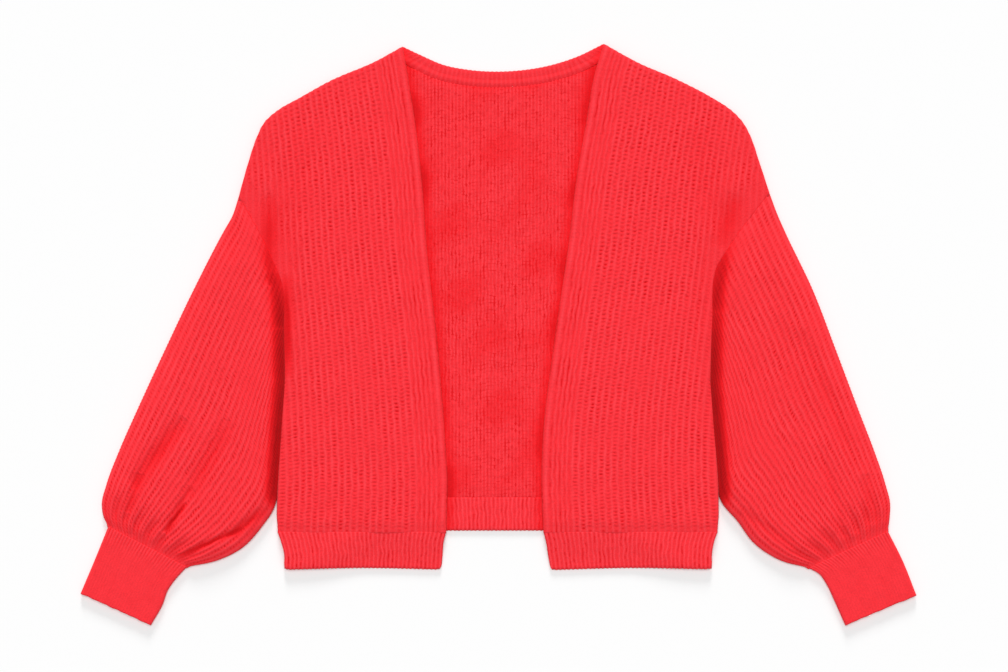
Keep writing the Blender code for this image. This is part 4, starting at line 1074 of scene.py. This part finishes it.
def linear(hex_colour):
    """Linear colour with alpha from an sRGB hex value."""
    parts = [int(hex_colour[start:start + 2], 16) / 255.0 for start in (1, 3, 5)]
    return tuple(p / 12.92 if p <= 0.04045 else ((p + 0.055) / 1.055) ** 2.4 for p in parts) + (1.0,)


def add_node(tree, kind, inputs=(), **settings):
    """Add a node with its settings, and give its inputs their values or links."""
    node = tree.nodes.new(kind)
    for name, value in settings.items():
        setattr(node, name, value)
    for name, value in dict(inputs).items():
        if isinstance(value, bpy.types.NodeSocket):
            tree.links.new(value, node.inputs[name])
        else:
            node.inputs[name].default_value = value
    return node


def set_shader(material, **values):
    """Turn on a material's nodes and set its shader's inputs, named with _ for each space."""
    material.use_nodes = True
    shader = material.node_tree.nodes["Principled BSDF"]
    for name, value in values.items():
        shader.inputs[name.replace("_", " ")].default_value = value
    return shader


# tuck: share of the deep colour, painted shade, in a tuck's dimple; groove: the same along a groove;
# plain: along the grooves of the plain ribs beside the opening; tip: share of the light colour on a
# rib's crest, a painted highlight; dash: share of the deep colour between rows; stray: how much these
# marks differ from stitch to stitch; felt: strength of the felted mottling; fibre: strength of the fibre
# bump
Wool = namedtuple("Wool", "name tuck groove plain tip dash stray felt fibre")

# Brushed wool, half-cardigan stitch: bright soft ribs with a painted highlight on each crest,
# and painted shade in a dimple in each groove and row
TUCK_RIB = Wool("brushed_wool_tuck_rib", 1.0, 0.12, 0.60, 0.40, 0.0, 0.5, 0.10, 0.5)
# The same wool from its plain side: flat fine lines of painted shade with purl bumps
PLAIN_SIDE = Wool("brushed_wool_plain_side", 0.0, 0.62, 0.62, 0.50, 0.55, 0.9, 0.22, 0.5)
# Close rib on finer needles: narrow even ribs with painted shade in the grooves, almost no row marks
CLOSE_RIB = Wool("wool_close_rib", 0.0, 0.44, 0.44, 0.50, 0.12, 0.8, 0.10, 0.5)
# Close rib, felted by wear and washing: ribs all but gone under a short nap
FELTED_RIB = Wool("felted_wool_rib", 0.0, 0.55, 0.55, 0.40, 0.10, 0.3, 0.12, 0.7)


def knit_wool(wool, colours):
    """Wool in a knitted pattern of painted shade and highlight that follows the piece's ribs (U) and rows
    (V).
    """
    material = bpy.data.materials.new(wool.name)
    shader = set_shader(material, Roughness=0.92, Specular_IOR_Level=0.15, Sheen_Weight=0.24,
                        Sheen_Roughness=0.5, Sheen_Tint=tuple(colours.sheen))
    tree = material.node_tree

    def maths(operation, *values):
        return add_node(tree, "ShaderNodeMath", enumerate(values), operation=operation).outputs[0]

    def times(first, second):
        return maths("MULTIPLY", first, second)

    def ramp(value, start, end, low, high, curve="LINEAR"):
        """From low, where the value is at start, to high, where it is at end."""
        return add_node(tree, "ShaderNodeMapRange", enumerate((value, start, end, low, high)),
                        interpolation_type=curve).outputs[0]

    def point(x, y):
        return add_node(tree, "ShaderNodeCombineXYZ", {0: x, 1: y}).outputs[0]

    def noise(at, size, detail, roughness):
        return add_node(tree, "ShaderNodeTexNoise", {"Vector": at, "Scale": 1.0 / size, "Detail": detail,
                                                     "Roughness": roughness}).outputs[0]

    def luck_of(dimensions, **at):
        return add_node(tree, "ShaderNodeTexWhiteNoise", at, noise_dimensions=dimensions).outputs["Value"]

    def blend(share, first, second):
        return add_node(tree, "ShaderNodeMix", {0: share, 6: first, 7: tuple(second)},
                        data_type="RGBA").outputs[2]

    def attribute(name):
        return add_node(tree, "ShaderNodeAttribute", attribute_name=name).outputs["Fac"]

    place = add_node(tree, "ShaderNodeUVMap", uv_map="Knit").outputs[0]
    ribs, rows = add_node(tree, "ShaderNodeSeparateXYZ", {0: place}).outputs[:2]

    # distance from the nearest groove, in ribs, and from the nearest tuck along it, in rows
    groove = maths("ROUND", ribs)
    away = maths("PINGPONG", ribs, 0.5)
    shifted = maths("MULTIPLY_ADD", groove, 0.5, rows)
    along_groove = maths("PINGPONG", shifted, 0.5)
    luck = luck_of("2D", Vector=point(groove, maths("ROUND", shifted)))

    # each groove changes along its length, from a row of dimples to a plain line and back
    vary = noise(point(times(groove, 1.7), maths("DIVIDE", rows, 14.0)), 1.0, 1.0, 0.5)
    lined = ramp(vary, 0.35, 0.65, 0.3, 1.5)
    dotted = ramp(vary, 0.35, 0.65, 1.15, 0.7)

    # the painted shade of a dimple is an oval spot, wider across the groove than along it
    spot = point(maths("DIVIDE", away, DIMPLE_ACROSS), maths("DIVIDE", along_groove, DIMPLE_ALONG))
    spread = add_node(tree, "ShaderNodeVectorMath", {0: spot}, operation="LENGTH").outputs["Value"]
    past_plain = ramp(ribs, PLAIN_RIBS - 0.5, PLAIN_RIBS + 1.0, 0.0, 1.0)
    dimple = times(ramp(spread, 1.05, 0.2, 0.0, wool.tuck, "SMOOTHSTEP"),
                   times(ramp(luck, 0.0, 1.0, 0.4, 1.1), dotted))
    dimple = times(dimple, past_plain)
    line = ramp(away, GROOVE_WIDTH, 0.0, 0.0, ramp(past_plain, 0.0, 1.0, wool.plain, wool.groove),
                "SMOOTHSTEP")

    # rows are out of step from one groove to the next
    row_away = maths("PINGPONG", maths("ADD", rows, luck_of("1D", W=groove)), 0.5)
    dash = ramp(row_away, DASH_WIDTH, 0.0, 0.0, wool.dash, "SMOOTHSTEP")
    marks = maths("MAXIMUM", times(line, lined), dash)
    marks = times(marks, ramp(luck, 0.0, 1.0, 1.0 - wool.stray, 1.0 + wool.stray))
    # deep is painted shade in the marks and dimples, to which the felted mottling is added below, and tip a
    # painted highlight on each crest; wear takes both away
    kept = maths("SUBTRACT", 1.0, attribute("Worn"))
    deep = times(maths("MAXIMUM", marks, dimple), kept)
    full, start = CREST_WIDTH
    tip = times(ramp(away, start, full, 0.0, wool.tip, "SMOOTHSTEP"), kept)

    # nap: short fibres that catch the light unevenly, drawn longer than they are so that they show
    at = add_node(tree, "ShaderNodeTexCoord").outputs["Object"]
    nap = noise(at, NAP, 3.0, 0.6)
    deep = times(deep, ramp(nap, 0.3, 0.7, 0.75, 1.1))
    deep = maths("MAXIMUM", deep, ramp(noise(at, FELT_PATCH, 2.0, 0.5), 0.42, 0.65, 0.0, wool.felt))
    dyed = blend(deep, blend(tip, tuple(colours.wool), colours.tip), colours.deep)

    # painted shade: down in a fold the wool is first lit by its own red, and only then dark
    crease = attribute("Crease")
    dyed = blend(ramp(crease, 0.0, 0.5, 0.0, 0.85), dyed, colours.hollow)
    dyed = blend(ramp(crease, 0.35, 1.0, 0.0, 0.95), dyed, colours.crease)
    nappy = {"Color": dyed, "Value": ramp(nap, 0.3, 0.7, 0.9, 1.1)}
    bump = {"Strength": wool.fibre, "Distance": FIBRE_HEIGHT, "Height": noise(at, FIBRE, 4.0, 0.65)}
    tree.links.new(add_node(tree, "ShaderNodeHueSaturation", nappy).outputs[0], shader.inputs["Base Color"])
    tree.links.new(add_node(tree, "ShaderNodeBump", bump).outputs[0], shader.inputs["Normal"])
    return material


# ---------------------------------------------------------------- add-on

def length(name, description, default, least=0.0):
    """A length to set, given in millimetres."""
    return FloatProperty(name=name, description=description, default=default * MM, min=least * MM,
                         unit="LENGTH", precision=5)


def colour(name, description, hex_colour):
    """A colour to set."""
    return FloatVectorProperty(name=name, description=description, subtype="COLOR", size=4, min=0.0,
                               max=1.0, default=linear(hex_colour))


class CardiganKnit(PropertyGroup):
    """Sizes of the knitting."""

    rib_height: length("Rib height", "Height of a tuck rib over its grooves", 0.95)
    tuck_depth: length("Tuck depth", "Depth of the dimple at a tuck stitch", 0.85)
    row_pitch: length("Row pitch", "Distance from one stitch row to the next", 3.9, 1.0)
    band_rib_height: length("Band rib height", "Height of a rib on the bands", 0.4)
    cuff_rib_height: length("Cuff rib height", "Height of a rib on the cuffs", 0.4)
    back_pitch: length("Back rib pitch", "Distance between fine back ribs", 3.8, 1.0)
    back_rib_height: length("Back rib height", "Height of a fine back rib", 0.7)


class CardiganColours(PropertyGroup):
    """Colours of the wool."""

    wool: colour("Wool", "Red of the wool", "#F8323B")
    # deep, hollow and crease are colours of painted shade, and tip of a painted highlight on the crests
    deep: colour("Deep wool", "Red down in the grooves and dimples", "#DC0812")
    hollow: colour("Wool in hollows", "Red in a soft fold, where the wool is lit by itself", "#EE0C16")
    crease: colour("Creased wool", "Red deep in a crease, where the nap keeps the light out", "#AE0006")
    tip: colour("Raised wool", "Red on the crests of the ribs", "#FF4E58")
    sheen: colour("Nap", "Tint of the light that the nap catches", "#FF9898")


def make(context, build, wool, kind, slot, rests_on, *sides):
    """Build one piece and let it stand for its CAD node."""
    settings = context.scene.cardigan_knit
    knit = SimpleNamespace(**{name: getattr(settings, name) / MM for name in CardiganKnit.__annotations__})
    material = bpy.data.materials.get(wool.name) or knit_wool(wool, context.scene.cardigan_colours)
    piece = build(*sides, knit, material)
    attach(piece, "root")
    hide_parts("_".join([kind, *(side.name for side in sides)]))


class CARDIGAN_OT_back(Operator):
    """Make the back panel, its hem and the neckband"""

    bl_idname = "cardigan.back"
    bl_label = "Back"

    def execute(self, context):
        make(context, back_panel, PLAIN_SIDE, "back_panel", "body_knit", "floor")
        make(context, back_hem, CLOSE_RIB, "back_hem", "rib_band", "floor")
        make(context, back_neckband, CLOSE_RIB, "back_neckband", "rib_band", "floor")
        return {"FINISHED"}


class CARDIGAN_OT_fronts(Operator):
    """Make the two front panels and their hems"""

    bl_idname = "cardigan.fronts"
    bl_label = "Fronts"

    def execute(self, context):
        for side in (RIGHT, LEFT):
            make(context, front_panel, TUCK_RIB, "front", "body_knit", "back", side)
            make(context, front_hem, CLOSE_RIB, "front_hem", "rib_band", "back_hem_band", side)
        return {"FINISHED"}


class CARDIGAN_OT_sleeves(Operator):
    """Make the two sleeves and their cuffs"""

    bl_idname = "cardigan.sleeves"
    bl_label = "Sleeves"

    def execute(self, context):
        for side in (RIGHT, LEFT):
            make(context, sleeve, TUCK_RIB, "sleeve", "body_knit", "floor", side)
            make(context, cuff, FELTED_RIB, "cuff", "cuff_knit", "floor", side)
        return {"FINISHED"}


class CARDIGAN_OT_stage(Operator):
    """Make the pale floor, the soft lights and the camera"""

    bl_idname = "cardigan.stage"
    bl_label = "Stage"

    def execute(self, context):
        scene = context.scene
        scene.view_settings.view_transform = "Standard"
        mesh = bpy.data.meshes.new("floor")
        corners = [(x * FLOOR_HALF, y * FLOOR_HALF, 0.0) for x, y in ((-1, -1), (1, -1), (1, 1), (-1, 1))]
        mesh.from_pydata(corners, [], [(0, 1, 2, 3)])
        paper = bpy.data.materials.new("matt_white_paper")
        set_shader(paper, Base_Color=linear("#FAFAFA"), Roughness=0.95, Specular_IOR_Level=0.0)
        mesh.materials.append(paper)
        floor = add_object("floor", mesh)
        floor.location.z = -FLOOR_DROP

        world = bpy.data.worlds.new("studio")
        world.use_nodes = True
        background = world.node_tree.nodes["Background"]
        background.inputs["Color"].default_value = linear("#FFFFFF")
        background.inputs["Strength"].default_value = WORLD_LIGHT
        scene.world = world

        for box in SOFTBOXES:
            lamp = bpy.data.lights.new(box.name, "SUN")
            lamp.energy = box.share * np.pi / np.cos(np.radians(box.tilt))
            lamp.angle = np.radians(box.spread)
            add_object(box.name, lamp).rotation_euler = (np.radians(-box.tilt), 0.0, 0.0)

        lens = bpy.data.cameras.new("camera")
        lens.sensor_width = SENSOR
        lens.lens = SENSOR * (CAMERA_HEIGHT - FOCUS_HEIGHT) / VIEW_WIDTH
        lens.clip_end = 50.0
        scene.camera = add_object("camera", lens)
        scene.camera.location = (*VIEW_CENTRE, CAMERA_HEIGHT)
        return {"FINISHED"}


class VIEW3D_PT_cardigan(Panel):
    """Buttons and sizes of the cardigan"""

    bl_label = "Cardigan"
    bl_category = "Cardigan"
    bl_space_type = "VIEW_3D"
    bl_region_type = "UI"

    def draw(self, context):
        for settings in (context.scene.cardigan_knit, context.scene.cardigan_colours):
            for name in settings.__annotations__:
                self.layout.prop(settings, name)
        for step in (CARDIGAN_OT_back, CARDIGAN_OT_fronts, CARDIGAN_OT_sleeves, CARDIGAN_OT_stage):
            self.layout.operator(step.bl_idname)


CLASSES = (CardiganKnit, CardiganColours, CARDIGAN_OT_back, CARDIGAN_OT_fronts, CARDIGAN_OT_sleeves,
           CARDIGAN_OT_stage, VIEW3D_PT_cardigan)


def register():
    """Make the classes known to Blender."""
    for item in CLASSES:
        bpy.utils.register_class(item)
    bpy.types.Scene.cardigan_knit = PointerProperty(type=CardiganKnit)
    bpy.types.Scene.cardigan_colours = PointerProperty(type=CardiganColours)


def unregister():
    """Take the classes away again."""
    del bpy.types.Scene.cardigan_colours
    del bpy.types.Scene.cardigan_knit
    for item in reversed(CLASSES):
        bpy.utils.unregister_class(item)


def main():
    """Make the cardigan and its stage."""
    register()
    bpy.ops.cardigan.stage()
    bpy.ops.cardigan.back()
    bpy.ops.cardigan.fronts()
    bpy.ops.cardigan.sleeves()


if __name__ == "__main__":
    main()
